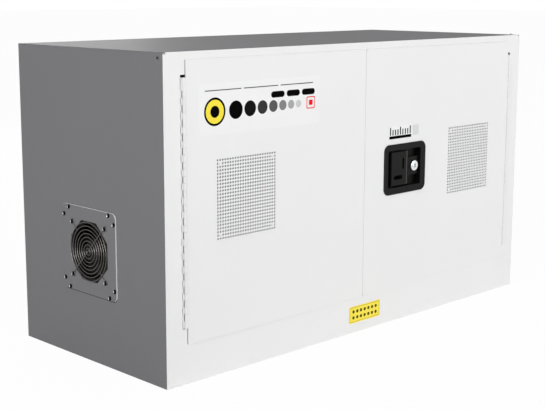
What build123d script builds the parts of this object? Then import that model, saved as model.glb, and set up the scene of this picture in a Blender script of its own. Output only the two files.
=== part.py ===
"""Countertop battery charging cabinet: a double-wall steel case with two vented doors,
a flush paddle latch that throws rods at the top and bottom, and a side exhaust fan."""

from build123d import *

import os
from math import cos, radians, sin

os.makedirs("parts", exist_ok=True)

# ---------------------------------------------------------------------------------------
# Driving dimensions, in millimetres. X runs left to right, Y front to back and Z up.
# The origin is the centre of the case's bottom face.
# ---------------------------------------------------------------------------------------
# Case
case_width = 1092.0
case_depth = 457.0
case_height = 610.0
sheet = 1.2  # steel skins, liners and pans
wall = 38.0  # double wall, outside face to inside face
top_rail = 40.5  # height of the frame above the door opening
sill = 106.0  # height of the frame below the door opening
lip = 14.0  # short flanges that join one sheet to the next
corner_notch = (5.0, 3.5)  # relief at the top outer corner of each stile
top_bend = 0.9  # rounding of the top panel's long edges
spacer_width = 30.0  # channels between the two walls
spacer_spread = 0.25  # their distance from the middle, as a share of the width
side_spacer_y = 110.0

# Doors
door_proud = 3.0  # front of the doors ahead of the frame
door_bottom = 76.0
door_top_drop = 14.0  # doors' top below the case's top
door_edge_gap = 11.2  # slot between stile and door that holds the hinge
meeting_x = -12.3  # where the doors meet
meeting_gap = 1.0
meeting_corner = 6.0  # rounding of the corners at the meeting line
door_seat = 0.3  # door flange to frame face
pan_depth = 35.0  # back of the door's inner pan, behind the frame's front
pan_gap = 2.0  # inner pan to the top and bottom of the opening
pan_meeting_inset = 6.0  # lets the thick edge swing past the other door

# Vents
vent_inset = 147.6  # centre of each vent field from its door's hinged edge
vent_count = 6  # holes along each side of the field, whose corners hold screws
vent_pitch = 27.2
vent_hole = 15.0
vent_border = 2.3  # plain metal from the outer holes to the window's edge
vent_lap = 8.0  # screen behind the skin, round the window
vent_slots = 6
vent_slot = (100.0, 10.0)  # slots in the inner pan
vent_slot_pitch = 20.0
vent_screw_radius = 2.6
vent_screw_at = 67.2  # screws from the field's centre, both ways

# Piano hinges
hinge_bottom_gap = 1.4  # hinge to the bottom of the opening
hinge_top_gap = 4.9
hinge_inset = 5.75  # knuckle centre from the stile's edge
knuckle_radius = 3.5
knuckle_length = 25.4
knuckle_gap = 0.25
knuckle_sides = 8
pin_radius = 1.5
pin_clearance = 0.06
leaf = 1.5
leaf_depth = 24.0
leaf_setback = 1.0  # leaf plates behind the knuckles

# Flush latch
latch_inset = 128.8  # rim's centre from the right door's meeting edge
latch_rise = 2.0  # rim's centre above the doors' middle
rim_size = (139.0, 107.0)
rim_corner = 15.0
rim_proud = 3.0
rim_edge = 1.6
recess_size = (109.4, 80.5)
recess_shift = -1.4  # recess centre to the left of the rim's centre
recess_corner = 4.0
recess_floor = 9.0  # behind the frame's front
dish_wall = 2.0
dish_clearance = 0.5  # dish body to the hole in the door
paddle_size = (57.0, 72.0)
paddle_left = 11.0  # gap between the recess and the paddle's left edge
paddle_thickness = 10.0
paddle_skin = 3.0
paddle_bevel = (8.0, 3.0)
paddle_pin_inset = 5.0  # pin centre from the paddle's left edge
paddle_pin_radius = 2.0
paddle_barrel = 4.5
paddle_edge = 1.0  # chamfer along the hinged edge
key_slot = (6.2, 25.0)
pad_slot = (29.0, 8.8)
key_slot_at = (39.0, 46.0)  # slot centres from the paddle's lower left corner
pad_slot_at = (22.5, 17.0)
lock_offset = (34.0, 1.0)  # lock centre from the rim's centre
lock_boss = (34.0, 39.0)
lock_boss_face = 0.0  # front of the boss, against the frame's front
lock_radius = 11.5
lock_flange = 6.0
lock_body_radius = 9.5
lock_length = 26.0
plug_radius = 6.2
plug_proud = 0.6
keyway = (1.8, 9.0)
keyway_depth = 8.0
lock_cam_size = (16.0, 26.0)
lock_cam_head = 9.0  # cam above the plug's centre
lock_cam_sheet = 2.0
lock_cam_gap = 0.3  # cam to the back of the lock

# Latch train behind the dish
tail_width = 4.0
tail_height = 14.0
tail_reach = 19.0  # from the paddle pin to the tail's tip
tail_play = 0.3
tail_clearance = 2.0  # slot above and below the tail
cam_arm = 25.0
cam_lug_arm = 20.0
cam_plate = 3.0
cam_face = 18.5  # front of the cam plate, behind the frame's front
cam_pin_radius = 3.0
lug_overlap = 5.0  # length of the cam's lug beside the tail
cam_hub_radius = 8.0
cam_stud_radius = 3.0
stud_boss_radius = 6.5
stud_clearance = 0.06
stud_seat = 0.2  # stud boss to the cam plate
paddle_travel = 30.0  # degrees
rod_width = 14.0
rod_thickness = 3.0
rod_play = 0.8  # cam plate to the rods
rod_slot_play = 0.5
rod_foot = (22.0, 16.0)
rod_engagement = 9.0
rod_clearance = 0.4
guide_size = (30.0, 16.0, 14.0)
keeper_size = (44.0, 34.0)
keeper_sheet = 2.0
keeper_width = 22.0

# Exhaust fan in the left wall
fan_z = 220.0
fan_size = 119.0
fan_bore = 54.4
fan_corner = 4.0
fan_hole_pitch = 105.0
fan_cutout = 124.0
fan_plate_size = 170.0
fan_plate_thickness = 2.4
fan_plate_corner = 11.0
fan_opening = 117.0  # octagon, across flats
plate_screw_far = 80.0
plate_screw_near = 64.0
screw_radius = 1.9
screw_clearance = 0.15
screw_head = 3.6
screw_head_height = 1.8
screw_length = 6.0
guard_wire = 1.8
guard_rings = 8
guard_outer = 58.0
guard_pitch = 7.0
guard_sides = 12
guard_eye = 4.6
guard_weld = 0.2  # share of a wire that sinks in at each crossing
guard_screw_reach = 12.0  # into the fan's frame
motor_radius = 19.0
hub_radius = 23.0
hub_depth = 26.0
hub_wall = 2.0
blade_count = 7
blade_tip = 51.0
blade_thickness = 1.6
blade_chord = 20.0
blade_angle = 42.0
strut_width = 7.0
strut_depth = 5.0
strut_root = 1.0  # struts run this far into the frame
shaft_radius = 2.5
shaft_clearance = 0.06
rotor_gap = 1.0

# Inside the case
shelf_z = 330.0
shelf_gap = 3.0
shelf_front = 24.0  # shelf behind the door pans
shelf_back = 12.0
shelf_flange = 20.0
shelf_slot = (100.0, 14.0)
shelf_slots = (5, 3)
shelf_slot_pitch = (180.0, 80.0)
bracket_size = (30.0, 28.0)
bracket_sheet = 2.0
bracket_inset = 45.0
strip_size = (640.0, 42.0, 46.0)
strip_drop = 89.5  # middle of the strip below the top of the opening
socket_count = 8
socket_pitch = 72.0
socket_size = (40.0, 30.0)
socket_depth = 8.0
strip_bracket = (24.0, 3.0)

# Cable inlet in the back
inlet_inset = 116.0  # from the case's right side
inlet_z = 90.0
inlet_bore = 11.0
inlet_body = 15.0
inlet_flange = 20.0
inlet_lip = 1.5
inlet_clearance = 0.2

# Facets of small turned parts
fastener_sides = 6
head_sides = 8
turned_sides = 18

# Small parts on the case
ground_inset = 9.0  # from the case's right side
ground_y = 16.0  # behind the front
ground_radius = 4.0
ground_height = 3.4
insert_y = 15.5
insert_drop = 10.0  # below the case's top
insert_bore = 2.5
insert_body = 3.6
insert_flange = 4.4
insert_lip = 0.8
insert_fit = 0.2
insert_length = 9.0

# ---------------------------------------------------------------------------------------
# Derived places
# ---------------------------------------------------------------------------------------
left = -case_width / 2
right = case_width / 2
front = -case_depth / 2
back = case_depth / 2
opening_top = case_height - top_rail
inner_left = left + wall
inner_right = right - wall
inner_front = front + wall
inner_back = back - wall
inner_depth = inner_back - inner_front
inner_height = opening_top - wall
cavity = wall - 2 * sheet
door_front = front - door_proud
skin_back = door_front + sheet
pan_back = front + pan_depth
hinge_y = door_front
door_top = case_height - door_top_drop
door_z = (door_bottom + door_top) / 2
door_height = door_top - door_bottom
hinge_bottom = sill + hinge_bottom_gap
hinge_length = opening_top - hinge_top_gap - hinge_bottom
vent_field = (vent_count - 1) * vent_pitch + vent_hole
vent_window = vent_field + 2 * vent_border
pan_bottom = sill + pan_gap
pan_top = opening_top - pan_gap
vent_z = door_z
latch_x = meeting_x + meeting_gap / 2 + latch_inset
latch_z = door_z + latch_rise
recess_x = latch_x + recess_shift
rim_front = door_front - rim_proud
floor_front = front + recess_floor
floor_back = floor_front + dish_wall
paddle_x0 = recess_x - recess_size[0] / 2 + paddle_left
paddle_x1 = paddle_x0 + paddle_size[0]
paddle_z0 = latch_z - paddle_size[1] / 2
paddle_pin_x = paddle_x0 + paddle_pin_inset
paddle_pin_y = rim_front + paddle_thickness / 2
lock_x = latch_x + lock_offset[0]
lock_z = latch_z + lock_offset[1]
lug_x = paddle_pin_x + tail_width / 2 + tail_play + cam_pin_radius
lug_z = latch_z + cam_lug_arm
cam_y = front + cam_face
rod_y = cam_y + cam_plate + rod_play
upper_rod_x = lug_x + cam_arm
lower_rod_x = lug_x - cam_arm
rod_hole = (rod_width + 2 * rod_clearance, rod_thickness + 2 * rod_clearance)
fan_x = left - fan_plate_thickness
strip_z = opening_top - strip_drop
inlet_x = right - inlet_inset
ground_x = right - ground_inset
insert_z = case_height - insert_drop


def facing_front(y):
    """A sketch plane seen from the front: X to the right, Z up, extruding towards the front."""
    return Plane(origin=(0, y, 0), x_dir=(1, 0, 0), z_dir=(0, -1, 0))


def facing_left(x):
    """A sketch plane seen from the left side: depth to the left, Z up, extruding to the left."""
    return Plane(origin=(x, 0, 0), x_dir=(0, -1, 0), z_dir=(-1, 0, 0))


def block(x, y, z, mode=Mode.ADD):
    """A box between three pairs of limits, added to the open part or cut from it."""
    pairs = [sorted(pair) for pair in (x, y, z)]
    with Locations(tuple(sum(pair) / 2 for pair in pairs)):
        Box(*[high - low for low, high in pairs], mode=mode)


def save(builder, name):
    """Label a finished sub-part and write it."""
    builder.part.label = name
    export_step(builder.part, f"parts/{name}.step")


# ---------------------------------------------------------------------------------------
# Case: outer skins
# ---------------------------------------------------------------------------------------
for name, edge, turn in (("left", left, 1), ("right", right, -1)):
    with BuildPart() as side_panel:
        block(sorted((edge, edge + turn * sheet)), (front + sheet, back), (0, case_height - sheet))
        if name == "left":
            with BuildSketch(facing_left(edge)) as fan_window:
                with Locations((0, fan_z)):
                    RectangleRounded(fan_cutout, fan_cutout, fan_corner)
                with Locations((-front - insert_y, insert_z)):
                    RegularPolygon(insert_body, head_sides)
            extrude(amount=-sheet, mode=Mode.SUBTRACT)
            with BuildSketch(facing_left(edge)) as plate_holes:
                for far, near in ((plate_screw_far, plate_screw_near), (plate_screw_near, plate_screw_far)):
                    with Locations((0, fan_z)):
                        with GridLocations(2 * far, 2 * near, 2, 2):
                            RegularPolygon(screw_radius + screw_clearance, fastener_sides)
            extrude(amount=-sheet, mode=Mode.SUBTRACT)
    save(side_panel, f"outer_{name}_panel")

with BuildPart() as outer_top_panel:
    block((left, right), (front + sheet, back), (case_height - sheet, case_height))
    fillet(outer_top_panel.edges().filter_by(Axis.Y).group_by(Axis.Z)[-1], radius=top_bend)
    with BuildSketch(Plane.XY.offset(case_height)):
        with Locations((ground_x, front + ground_y)):
            RegularPolygon(screw_radius + screw_clearance, fastener_sides)
    extrude(amount=-sheet, mode=Mode.SUBTRACT)
save(outer_top_panel, "outer_top_panel")

with BuildPart() as outer_bottom_panel:
    block((left + sheet, right - sheet), (front + sheet, back - sheet), (0, sheet))
save(outer_bottom_panel, "outer_bottom_panel")

with BuildPart() as outer_back_panel:
    block((left + sheet, right - sheet), (back - sheet, back), (0, case_height - sheet))
    for edge in (left + sheet, right - 2 * sheet):
        block((edge, edge + sheet), (back - lip, back - sheet), (sheet, case_height - sheet))
    with BuildSketch(facing_front(back)):
        with Locations((inlet_x, inlet_z)):
            RegularPolygon(inlet_body + inlet_clearance, turned_sides)
    extrude(amount=sheet, mode=Mode.SUBTRACT)
save(outer_back_panel, "outer_back_panel")

# ---------------------------------------------------------------------------------------
# Case: face frame
# ---------------------------------------------------------------------------------------
for name, edge, turn in (("left", left, 1), ("right", right, -1)):
    inner_edge = edge + turn * wall
    with BuildPart() as stile:
        block(sorted((edge, inner_edge)), (front, front + sheet), (0, case_height))
        inner_return = sorted((inner_edge - turn * sheet, inner_edge))
        block(inner_return, (front + sheet, inner_front), (sheet, case_height - sheet))
        outer_lip = sorted((edge + turn * sheet, edge + turn * 2 * sheet))
        block(outer_lip, (front + sheet, front + lip), (sheet, case_height - sheet))
        with BuildSketch(facing_front(front)):
            with Locations((edge + turn * corner_notch[0] / 2, case_height - corner_notch[1] / 2)):
                Rectangle(*corner_notch)
        extrude(amount=-sheet, mode=Mode.SUBTRACT)
        if name == "left":
            with BuildSketch(facing_left(edge)):
                with Locations((-front - insert_y, insert_z)):
                    RegularPolygon(insert_body, head_sides)
            extrude(amount=-wall / 2, mode=Mode.SUBTRACT)
    save(stile, f"{name}_stile")


# The ways of the latch rods are open to the front, behind the doors' edges
gate_back = rod_y + 2 * rod_thickness
gate_height = rod_engagement + 2 * rod_clearance + 4 * sheet

with BuildPart() as top_rail_part:
    block((inner_left, inner_right), (front, front + sheet), (opening_top, case_height))
    block((inner_left, inner_right), (front + sheet, inner_front), (opening_top, opening_top + sheet))
    back_lip = (opening_top + sheet, opening_top + lip)
    block((inner_left, inner_right), (inner_front - sheet, inner_front), back_lip)
    gate_x = (upper_rod_x - keeper_width / 2, upper_rod_x + keeper_width / 2)
    block(gate_x, (front, gate_back), (opening_top, opening_top + gate_height), mode=Mode.SUBTRACT)
save(top_rail_part, "top_rail")

with BuildPart() as bottom_rail_part:
    block((inner_left, inner_right), (front, front + sheet), (0, sill))
    block((inner_left, inner_right), (front + sheet, inner_front), (sill - sheet, sill))
    block((inner_left, inner_right), (inner_front - sheet, inner_front), (wall - sheet, sill - sheet))
    gate_x = (lower_rod_x - keeper_width / 2, lower_rod_x + keeper_width / 2)
    block(gate_x, (front, gate_back), (sill - gate_height, sill), mode=Mode.SUBTRACT)
save(bottom_rail_part, "bottom_rail")

with BuildPart() as latch_keepers:
    for x, z in ((upper_rod_x, opening_top + sheet), (lower_rod_x, sill - sheet - keeper_sheet)):
        with BuildSketch(Plane.XY.offset(z)):
            with Locations((x, front + sheet + keeper_size[1] / 2)):
                Rectangle(*keeper_size)
            with Locations((x, (front + gate_back) / 2)):
                Rectangle(keeper_width, gate_back - front, mode=Mode.SUBTRACT)
        extrude(amount=keeper_sheet)
save(latch_keepers, "latch_keepers")

# ---------------------------------------------------------------------------------------
# Case: liner and the channels that hold the two walls apart
# ---------------------------------------------------------------------------------------
liner_z = (wall - sheet, opening_top + sheet)

with BuildPart() as inner_left_panel:
    block((inner_left - sheet, inner_left), (inner_front, inner_back), liner_z)
    with BuildSketch(facing_left(inner_left)):
        with Locations((0, fan_z)):
            RectangleRounded(fan_cutout, fan_cutout, fan_corner)
    extrude(amount=sheet, mode=Mode.SUBTRACT)
save(inner_left_panel, "inner_left_panel")

with BuildPart() as inner_right_panel:
    block((inner_right, inner_right + sheet), (inner_front, inner_back), liner_z)
save(inner_right_panel, "inner_right_panel")

for name, z in (("top", opening_top), ("bottom", wall - sheet)):
    with BuildPart() as liner:
        block((inner_left, inner_right), (inner_front, inner_back), (z, z + sheet))
    save(liner, f"inner_{name}_panel")

with BuildPart() as inner_back_panel:
    block((inner_left - sheet, inner_right + sheet), (inner_back, inner_back + sheet), liner_z)
    with BuildSketch(facing_front(inner_back)):
        with Locations((inlet_x, inlet_z)):
            RegularPolygon(inlet_body + inlet_clearance, turned_sides)
    extrude(amount=-sheet, mode=Mode.SUBTRACT)
save(inner_back_panel, "inner_back_panel")


def channel(depth, length):
    """A sheet channel, open on one side, that fills the depth of the double wall."""
    with BuildPart(mode=Mode.PRIVATE) as section:
        with BuildSketch():
            with Locations((0, depth / 2 - sheet / 2), (0, -depth / 2 + sheet / 2)):
                Rectangle(spacer_width, sheet)
            with Locations((spacer_width / 2 - sheet / 2, 0)):
                Rectangle(sheet, depth)
        extrude(amount=length)
    return section.part


with BuildPart() as wall_spacers:
    upright = channel(cavity, inner_height)
    for x in (-spacer_spread * case_width, spacer_spread * case_width):
        add(Plane((x, back - wall / 2, wall)) * upright)
    for side in (left + wall / 2, right - wall / 2):
        for y in (-side_spacer_y, side_spacer_y):
            add(Plane((side, y, wall), x_dir=(0, 1, 0)) * upright)
    for z, depth in ((wall / 2, cavity), (case_height - top_rail / 2, top_rail - 2 * sheet)):
        for x in (-spacer_spread * case_width, spacer_spread * case_width):
            along = Plane((x, inner_front, z), x_dir=(1, 0, 0), z_dir=(0, 1, 0))
            add(along * channel(depth, inner_depth))
save(wall_spacers, "wall_spacers")

# ---------------------------------------------------------------------------------------
# Doors
# ---------------------------------------------------------------------------------------
doors = {
    "left": (inner_left + door_edge_gap, meeting_x - meeting_gap / 2),
    "right": (meeting_x + meeting_gap / 2, inner_right - door_edge_gap),
}
dish_body = (recess_size[0] + 2 * dish_wall, recess_size[1] + 2 * dish_wall)
dish_hole = (dish_body[0] + 2 * dish_clearance, dish_body[1] + 2 * dish_clearance)

for name, (x0, x1) in doors.items():
    vent_centre = x0 + vent_inset if name == "left" else x1 - vent_inset
    width = x1 - x0
    middle = (x0 + x1) / 2
    meeting_side = 0 if name == "right" else -1

    with BuildPart() as door_skin:
        with BuildSketch(facing_front(door_front)) as outline:
            with Locations((middle, door_z)):
                Rectangle(width, door_height)
            meeting_corners = outline.vertices().group_by(Axis.X)[meeting_side]
            fillet(meeting_corners, radius=meeting_corner)
        extrude(amount=-(door_proud - door_seat))
        inner_face = door_skin.faces().sort_by(Axis.Y)[-1]
        offset(amount=-sheet, openings=inner_face)
        with BuildSketch(facing_front(door_front)):
            with Locations((vent_centre, vent_z)):
                Rectangle(vent_window, vent_window)
            if name == "right":
                with Locations((recess_x, latch_z)):
                    RectangleRounded(*dish_hole, recess_corner + dish_wall)
        extrude(amount=-sheet, mode=Mode.SUBTRACT)
    save(door_skin, f"{name}_door_skin")

    hinge_side = x0 + sheet if name == "left" else x1 - sheet
    meeting_edge = x1 - pan_meeting_inset if name == "left" else x0 + pan_meeting_inset
    pan_x = sorted((hinge_side, meeting_edge))
    with BuildPart() as door_pan:
        block(pan_x, (skin_back, pan_back), (pan_bottom, pan_top))
        open_front = door_pan.faces().sort_by(Axis.Y)[0]
        offset(amount=-sheet, openings=open_front)
        with BuildSketch(facing_front(pan_back)):
            with Locations((vent_centre, vent_z)):
                with GridLocations(0, vent_slot_pitch, 1, vent_slots):
                    Rectangle(*vent_slot)
        extrude(amount=sheet, mode=Mode.SUBTRACT)
        if name == "right":
            for x, z in ((upper_rod_x, pan_top), (lower_rod_x, pan_bottom + sheet)):
                with BuildSketch(Plane.XY.offset(z)):
                    with Locations((x, rod_y + rod_thickness / 2)):
                        Rectangle(*rod_hole)
                extrude(amount=-sheet, mode=Mode.SUBTRACT)
    save(door_pan, f"{name}_door_pan")

    screen_size = vent_window + 2 * vent_lap
    with BuildPart() as vent_screen:
        with BuildSketch(facing_front(skin_back)):
            with Locations((vent_centre, vent_z)):
                Rectangle(screen_size, screen_size)
                with GridLocations(vent_pitch, vent_pitch, vent_count, vent_count - 2):
                    Rectangle(vent_hole, vent_hole, mode=Mode.SUBTRACT)
                with GridLocations(vent_pitch, (vent_count - 1) * vent_pitch, vent_count - 2, 2):
                    Rectangle(vent_hole, vent_hole, mode=Mode.SUBTRACT)
        extrude(amount=-sheet)
    save(vent_screen, f"{name}_vent_screen")

    with BuildPart() as vent_block:
        with BuildSketch(facing_front(skin_back + sheet)):
            with Locations((vent_centre, vent_z)):
                Rectangle(vent_window, vent_window)
        extrude(amount=-(pan_back - skin_back - 2 * sheet))
    save(vent_block, f"{name}_vent_block")

    with BuildPart() as vent_screws:
        with BuildSketch(facing_front(skin_back)):
            with Locations((vent_centre, vent_z)):
                with GridLocations(2 * vent_screw_at, 2 * vent_screw_at, 2, 2):
                    RegularPolygon(vent_screw_radius, head_sides)
        extrude(amount=sheet)
    save(vent_screws, f"{name}_vent_screws")

# ---------------------------------------------------------------------------------------
# Piano hinges
# ---------------------------------------------------------------------------------------
knuckles = int(hinge_length // knuckle_length)
knuckles -= 1 - knuckles % 2
knuckle_start = hinge_bottom + (hinge_length - knuckles * knuckle_length) / 2
plate_y = hinge_y + knuckle_radius + leaf_setback


def hinge_leaf(axis_x, plate_x, turn, own):
    """One leaf: a plate on its door or stile, and the knuckles that it owns (0 frame, 1 door).

    The pin is staked in the frame's knuckles, so only the door's knuckles are bored to turn on it.
    """
    neck = (axis_x - turn * (knuckle_radius - leaf / 2), (plate_y + leaf + hinge_y) / 2)
    with BuildPart() as half:
        whole = (hinge_bottom, hinge_bottom + hinge_length)
        wing_end = axis_x - turn * (knuckle_radius - leaf)
        block(sorted((plate_x, plate_x + turn * leaf)), (plate_y, plate_y + leaf_depth), whole)
        block(sorted((plate_x, wing_end)), (plate_y, plate_y + leaf), whole)
        starts = [knuckle_start + k * knuckle_length + knuckle_gap / 2 for k in range(own, knuckles, 2)]
        with BuildSketch(*[Plane.XY.offset(z) for z in starts]):
            with Locations((axis_x, hinge_y)):
                RegularPolygon(knuckle_radius, knuckle_sides, rotation=180 / knuckle_sides)
            with Locations(neck):
                Rectangle(leaf, plate_y + leaf - hinge_y)
        extrude(amount=knuckle_length - knuckle_gap)
        if own:
            with BuildSketch(Plane((axis_x, hinge_y, hinge_bottom))):
                RegularPolygon(pin_radius + pin_clearance, knuckle_sides, major_radius=False)
            extrude(amount=hinge_length, mode=Mode.SUBTRACT)
    return half


for name, turn in (("left", 1), ("right", -1)):
    stile_x = inner_left if name == "left" else inner_right
    axis_x = stile_x + turn * hinge_inset
    door_x = stile_x + turn * (door_edge_gap + sheet)
    save(hinge_leaf(axis_x, stile_x, turn, 0), f"{name}_hinge_frame_leaf")
    save(hinge_leaf(axis_x, door_x, -turn, 1), f"{name}_hinge_door_leaf")
    with BuildPart() as hinge_pin:
        with BuildSketch(Plane((axis_x, hinge_y, knuckle_start))):
            Circle(pin_radius)
        extrude(amount=knuckles * knuckle_length)
    save(hinge_pin, f"{name}_hinge_pin")

# ---------------------------------------------------------------------------------------
# Flush latch: dish, paddle and lock
# ---------------------------------------------------------------------------------------
with BuildPart() as handle_dish:
    with BuildSketch(facing_front(door_front)):
        with Locations((latch_x, latch_z)):
            RectangleRounded(*rim_size, rim_corner)
    extrude(amount=rim_proud)
    chamfer(handle_dish.faces().sort_by(Axis.Y)[0].edges(), length=rim_edge)
    with BuildSketch(facing_front(door_front)):
        with Locations((recess_x, latch_z)):
            RectangleRounded(*dish_body, recess_corner + dish_wall)
    extrude(amount=-(floor_back - door_front))
    with BuildSketch(facing_front(rim_front)):
        with Locations((recess_x, latch_z)):
            RectangleRounded(*recess_size, recess_corner)
    extrude(amount=-(floor_front - rim_front), mode=Mode.SUBTRACT)
    # Boss that carries the lock
    with BuildSketch(facing_front(floor_front)):
        with Locations((lock_x, lock_z)):
            Rectangle(*lock_boss)
    extrude(amount=recess_floor - lock_boss_face)
    with BuildSketch(facing_front(floor_back)):
        with Locations((lock_x, lock_z)):
            RegularPolygon(lock_body_radius, head_sides)
    extrude(amount=floor_back - front - lock_boss_face, mode=Mode.SUBTRACT)
    # Slot for the paddle's tail, and the stud that the latch cam turns on
    tail_swing = tail_reach * sin(radians(paddle_travel)) + 2 * tail_width
    with BuildSketch(facing_front(floor_back)):
        with Locations((paddle_pin_x + tail_swing / 2 - tail_width, lug_z)):
            Rectangle(tail_swing, tail_height + 2 * tail_clearance)
    extrude(amount=dish_wall, mode=Mode.SUBTRACT)
    with BuildSketch(facing_front(floor_back)):
        with Locations((lug_x, latch_z)):
            RegularPolygon(stud_boss_radius, head_sides)
    extrude(amount=-(cam_y - floor_back - stud_seat))
    with BuildSketch(facing_front(cam_y - stud_seat)):
        with Locations((lug_x, latch_z)):
            Circle(cam_stud_radius)
    extrude(amount=-(cam_plate + rod_play + rod_thickness))
    # Seats for the paddle's pin in the upper and lower walls
    with BuildSketch(Plane((paddle_pin_x, paddle_pin_y, latch_z - dish_body[1] / 2))):
        Circle(paddle_pin_radius)
    extrude(amount=dish_body[1], mode=Mode.SUBTRACT)
save(handle_dish, "handle_dish")

with BuildPart() as handle_paddle:
    with BuildSketch(Plane.XY.offset(paddle_z0)):
        with BuildLine():
            Polyline(
                (paddle_x0, rim_front + paddle_thickness),
                (paddle_x0, rim_front + paddle_edge),
                (paddle_x0 + paddle_edge, rim_front),
                (paddle_x1 - paddle_bevel[0], rim_front),
                (paddle_x1, rim_front + paddle_bevel[1]),
                (paddle_x1, rim_front + paddle_thickness),
                close=True,
            )
        make_face()
    extrude(amount=paddle_size[1])
    underside = handle_paddle.faces().sort_by(Axis.Y)[-1]
    offset(amount=-paddle_skin, openings=underside)
    with BuildSketch(Plane((paddle_pin_x, paddle_pin_y, paddle_z0))):
        RegularPolygon(paddle_barrel, head_sides)
    extrude(amount=paddle_size[1])
    tail_z = lug_z - tail_height / 2
    with BuildSketch(Plane.XY.offset(tail_z)):
        with Locations((paddle_pin_x, paddle_pin_y + tail_reach / 2)):
            Rectangle(tail_width, tail_reach)
    extrude(amount=tail_height)
    with BuildSketch(Plane((paddle_pin_x, paddle_pin_y, paddle_z0))):
        Circle(paddle_pin_radius + pin_clearance)
    extrude(amount=paddle_size[1], mode=Mode.SUBTRACT)
    with BuildSketch(facing_front(rim_front)):
        with Locations((paddle_x0 + key_slot_at[0], paddle_z0 + key_slot_at[1])):
            SlotOverall(key_slot[1], key_slot[0], rotation=90)
        with Locations((paddle_x0 + pad_slot_at[0], paddle_z0 + pad_slot_at[1])):
            SlotOverall(*pad_slot)
    extrude(amount=-paddle_skin, mode=Mode.SUBTRACT)
save(handle_paddle, "handle_paddle")

with BuildPart() as paddle_pin:
    with BuildSketch(Plane((paddle_pin_x, paddle_pin_y, latch_z - dish_body[1] / 2))):
        Circle(paddle_pin_radius)
    extrude(amount=dish_body[1])
save(paddle_pin, "paddle_pin")

boss_front = front + lock_boss_face
lock_front = boss_front - lock_flange
lock_back = lock_front + lock_length
plug_bore = plug_radius + pin_clearance
with BuildPart() as lock_barrel:
    with BuildSketch(facing_front(boss_front)):
        with Locations((lock_x, lock_z)):
            RegularPolygon(lock_radius, turned_sides)
    extrude(amount=lock_flange)
    chamfer(lock_barrel.faces().sort_by(Axis.Y)[0].edges(), length=rim_edge)
    with BuildSketch(facing_front(boss_front)):
        with Locations((lock_x, lock_z)):
            RegularPolygon(lock_body_radius, head_sides)
    extrude(amount=-(lock_back - boss_front))
    with BuildSketch(facing_front(lock_front)):
        with Locations((lock_x, lock_z)):
            Circle(plug_bore)
    extrude(amount=-lock_length, mode=Mode.SUBTRACT)
save(lock_barrel, "lock_barrel")

plug_front = lock_front - plug_proud
plug_back = lock_back + lock_cam_sheet + plug_proud
with BuildPart() as key_plug:
    with BuildSketch(facing_front(plug_front)):
        with Locations((lock_x, lock_z)):
            Circle(plug_radius)
    extrude(amount=-(plug_back - plug_front))
    with BuildSketch(facing_front(plug_front)):
        with Locations((lock_x, lock_z)):
            Rectangle(*keyway)
    extrude(amount=-keyway_depth, mode=Mode.SUBTRACT)
save(key_plug, "key_plug")

with BuildPart() as lock_cam:
    with BuildSketch(facing_front(lock_back + lock_cam_gap)):
        with Locations((lock_x, lock_z + lock_cam_head - lock_cam_size[1] / 2)):
            Rectangle(*lock_cam_size)
        with Locations((lock_x, lock_z)):
            Circle(plug_radius, mode=Mode.SUBTRACT)
    extrude(amount=-lock_cam_sheet)
save(lock_cam, "lock_cam")

# ---------------------------------------------------------------------------------------
# Latch train: cam, rods and guides
# ---------------------------------------------------------------------------------------
with BuildPart() as latch_cam:
    with BuildSketch(facing_front(cam_y)):
        with Locations((lug_x, latch_z)):
            Rectangle(2 * (cam_arm + 2 * cam_pin_radius), 3 * cam_pin_radius)
            with Locations((0, (cam_lug_arm + 2 * cam_pin_radius) / 2)):
                Rectangle(3 * cam_pin_radius, cam_lug_arm + 2 * cam_pin_radius)
            RegularPolygon(cam_hub_radius, head_sides)
            Circle(cam_stud_radius + stud_clearance, mode=Mode.SUBTRACT)
    extrude(amount=-cam_plate)
    with BuildSketch(facing_front(cam_y)):
        with Locations((lug_x, lug_z)):
            RegularPolygon(cam_pin_radius, head_sides)
    extrude(amount=cam_y - (paddle_pin_y + tail_reach) + lug_overlap)
    with BuildSketch(facing_front(cam_y + cam_plate)):
        with Locations((upper_rod_x, latch_z), (lower_rod_x, latch_z)):
            RegularPolygon(cam_pin_radius, head_sides)
    extrude(amount=-(rod_play + rod_thickness))
save(latch_cam, "latch_cam")

pin_drop = cam_arm * (1 - cos(radians(paddle_travel)))
for name, x, end, turn in (
    ("upper", upper_rod_x, opening_top + rod_engagement, 1),
    ("lower", lower_rod_x, sill - rod_engagement, -1),
):
    with BuildPart() as rod:
        low, high = sorted((latch_z + turn * rod_foot[1] / 2, end))
        with BuildSketch(facing_front(rod_y)):
            with Locations((x, (low + high) / 2)):
                Rectangle(rod_width, high - low)
            with Locations((x, latch_z)):
                Rectangle(*rod_foot)
            slot_width = 2 * (cam_pin_radius + rod_slot_play) + pin_drop
            with Locations((x - turn * pin_drop / 2, latch_z)):
                Rectangle(slot_width, 2 * (cam_pin_radius + rod_slot_play), mode=Mode.SUBTRACT)
        extrude(amount=-rod_thickness)
    save(rod, f"{name}_latch_rod")

with BuildPart() as rod_guides:
    for x, z in ((upper_rod_x, pan_top - sheet - guide_size[2]), (lower_rod_x, pan_bottom + sheet)):
        with BuildSketch(Plane.XY.offset(z)):
            with Locations((x, pan_back - sheet - guide_size[1] / 2)):
                Rectangle(guide_size[0], guide_size[1])
            with Locations((x, rod_y + rod_thickness / 2)):
                Rectangle(*rod_hole, mode=Mode.SUBTRACT)
        extrude(amount=guide_size[2])
save(rod_guides, "rod_guides")

# ---------------------------------------------------------------------------------------
# Exhaust fan in the left wall
# ---------------------------------------------------------------------------------------
octagon_radius = fan_opening / 2
screw_steps = ((screw_head, head_sides, screw_head_height), (screw_radius, fastener_sides, -screw_length))

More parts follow.
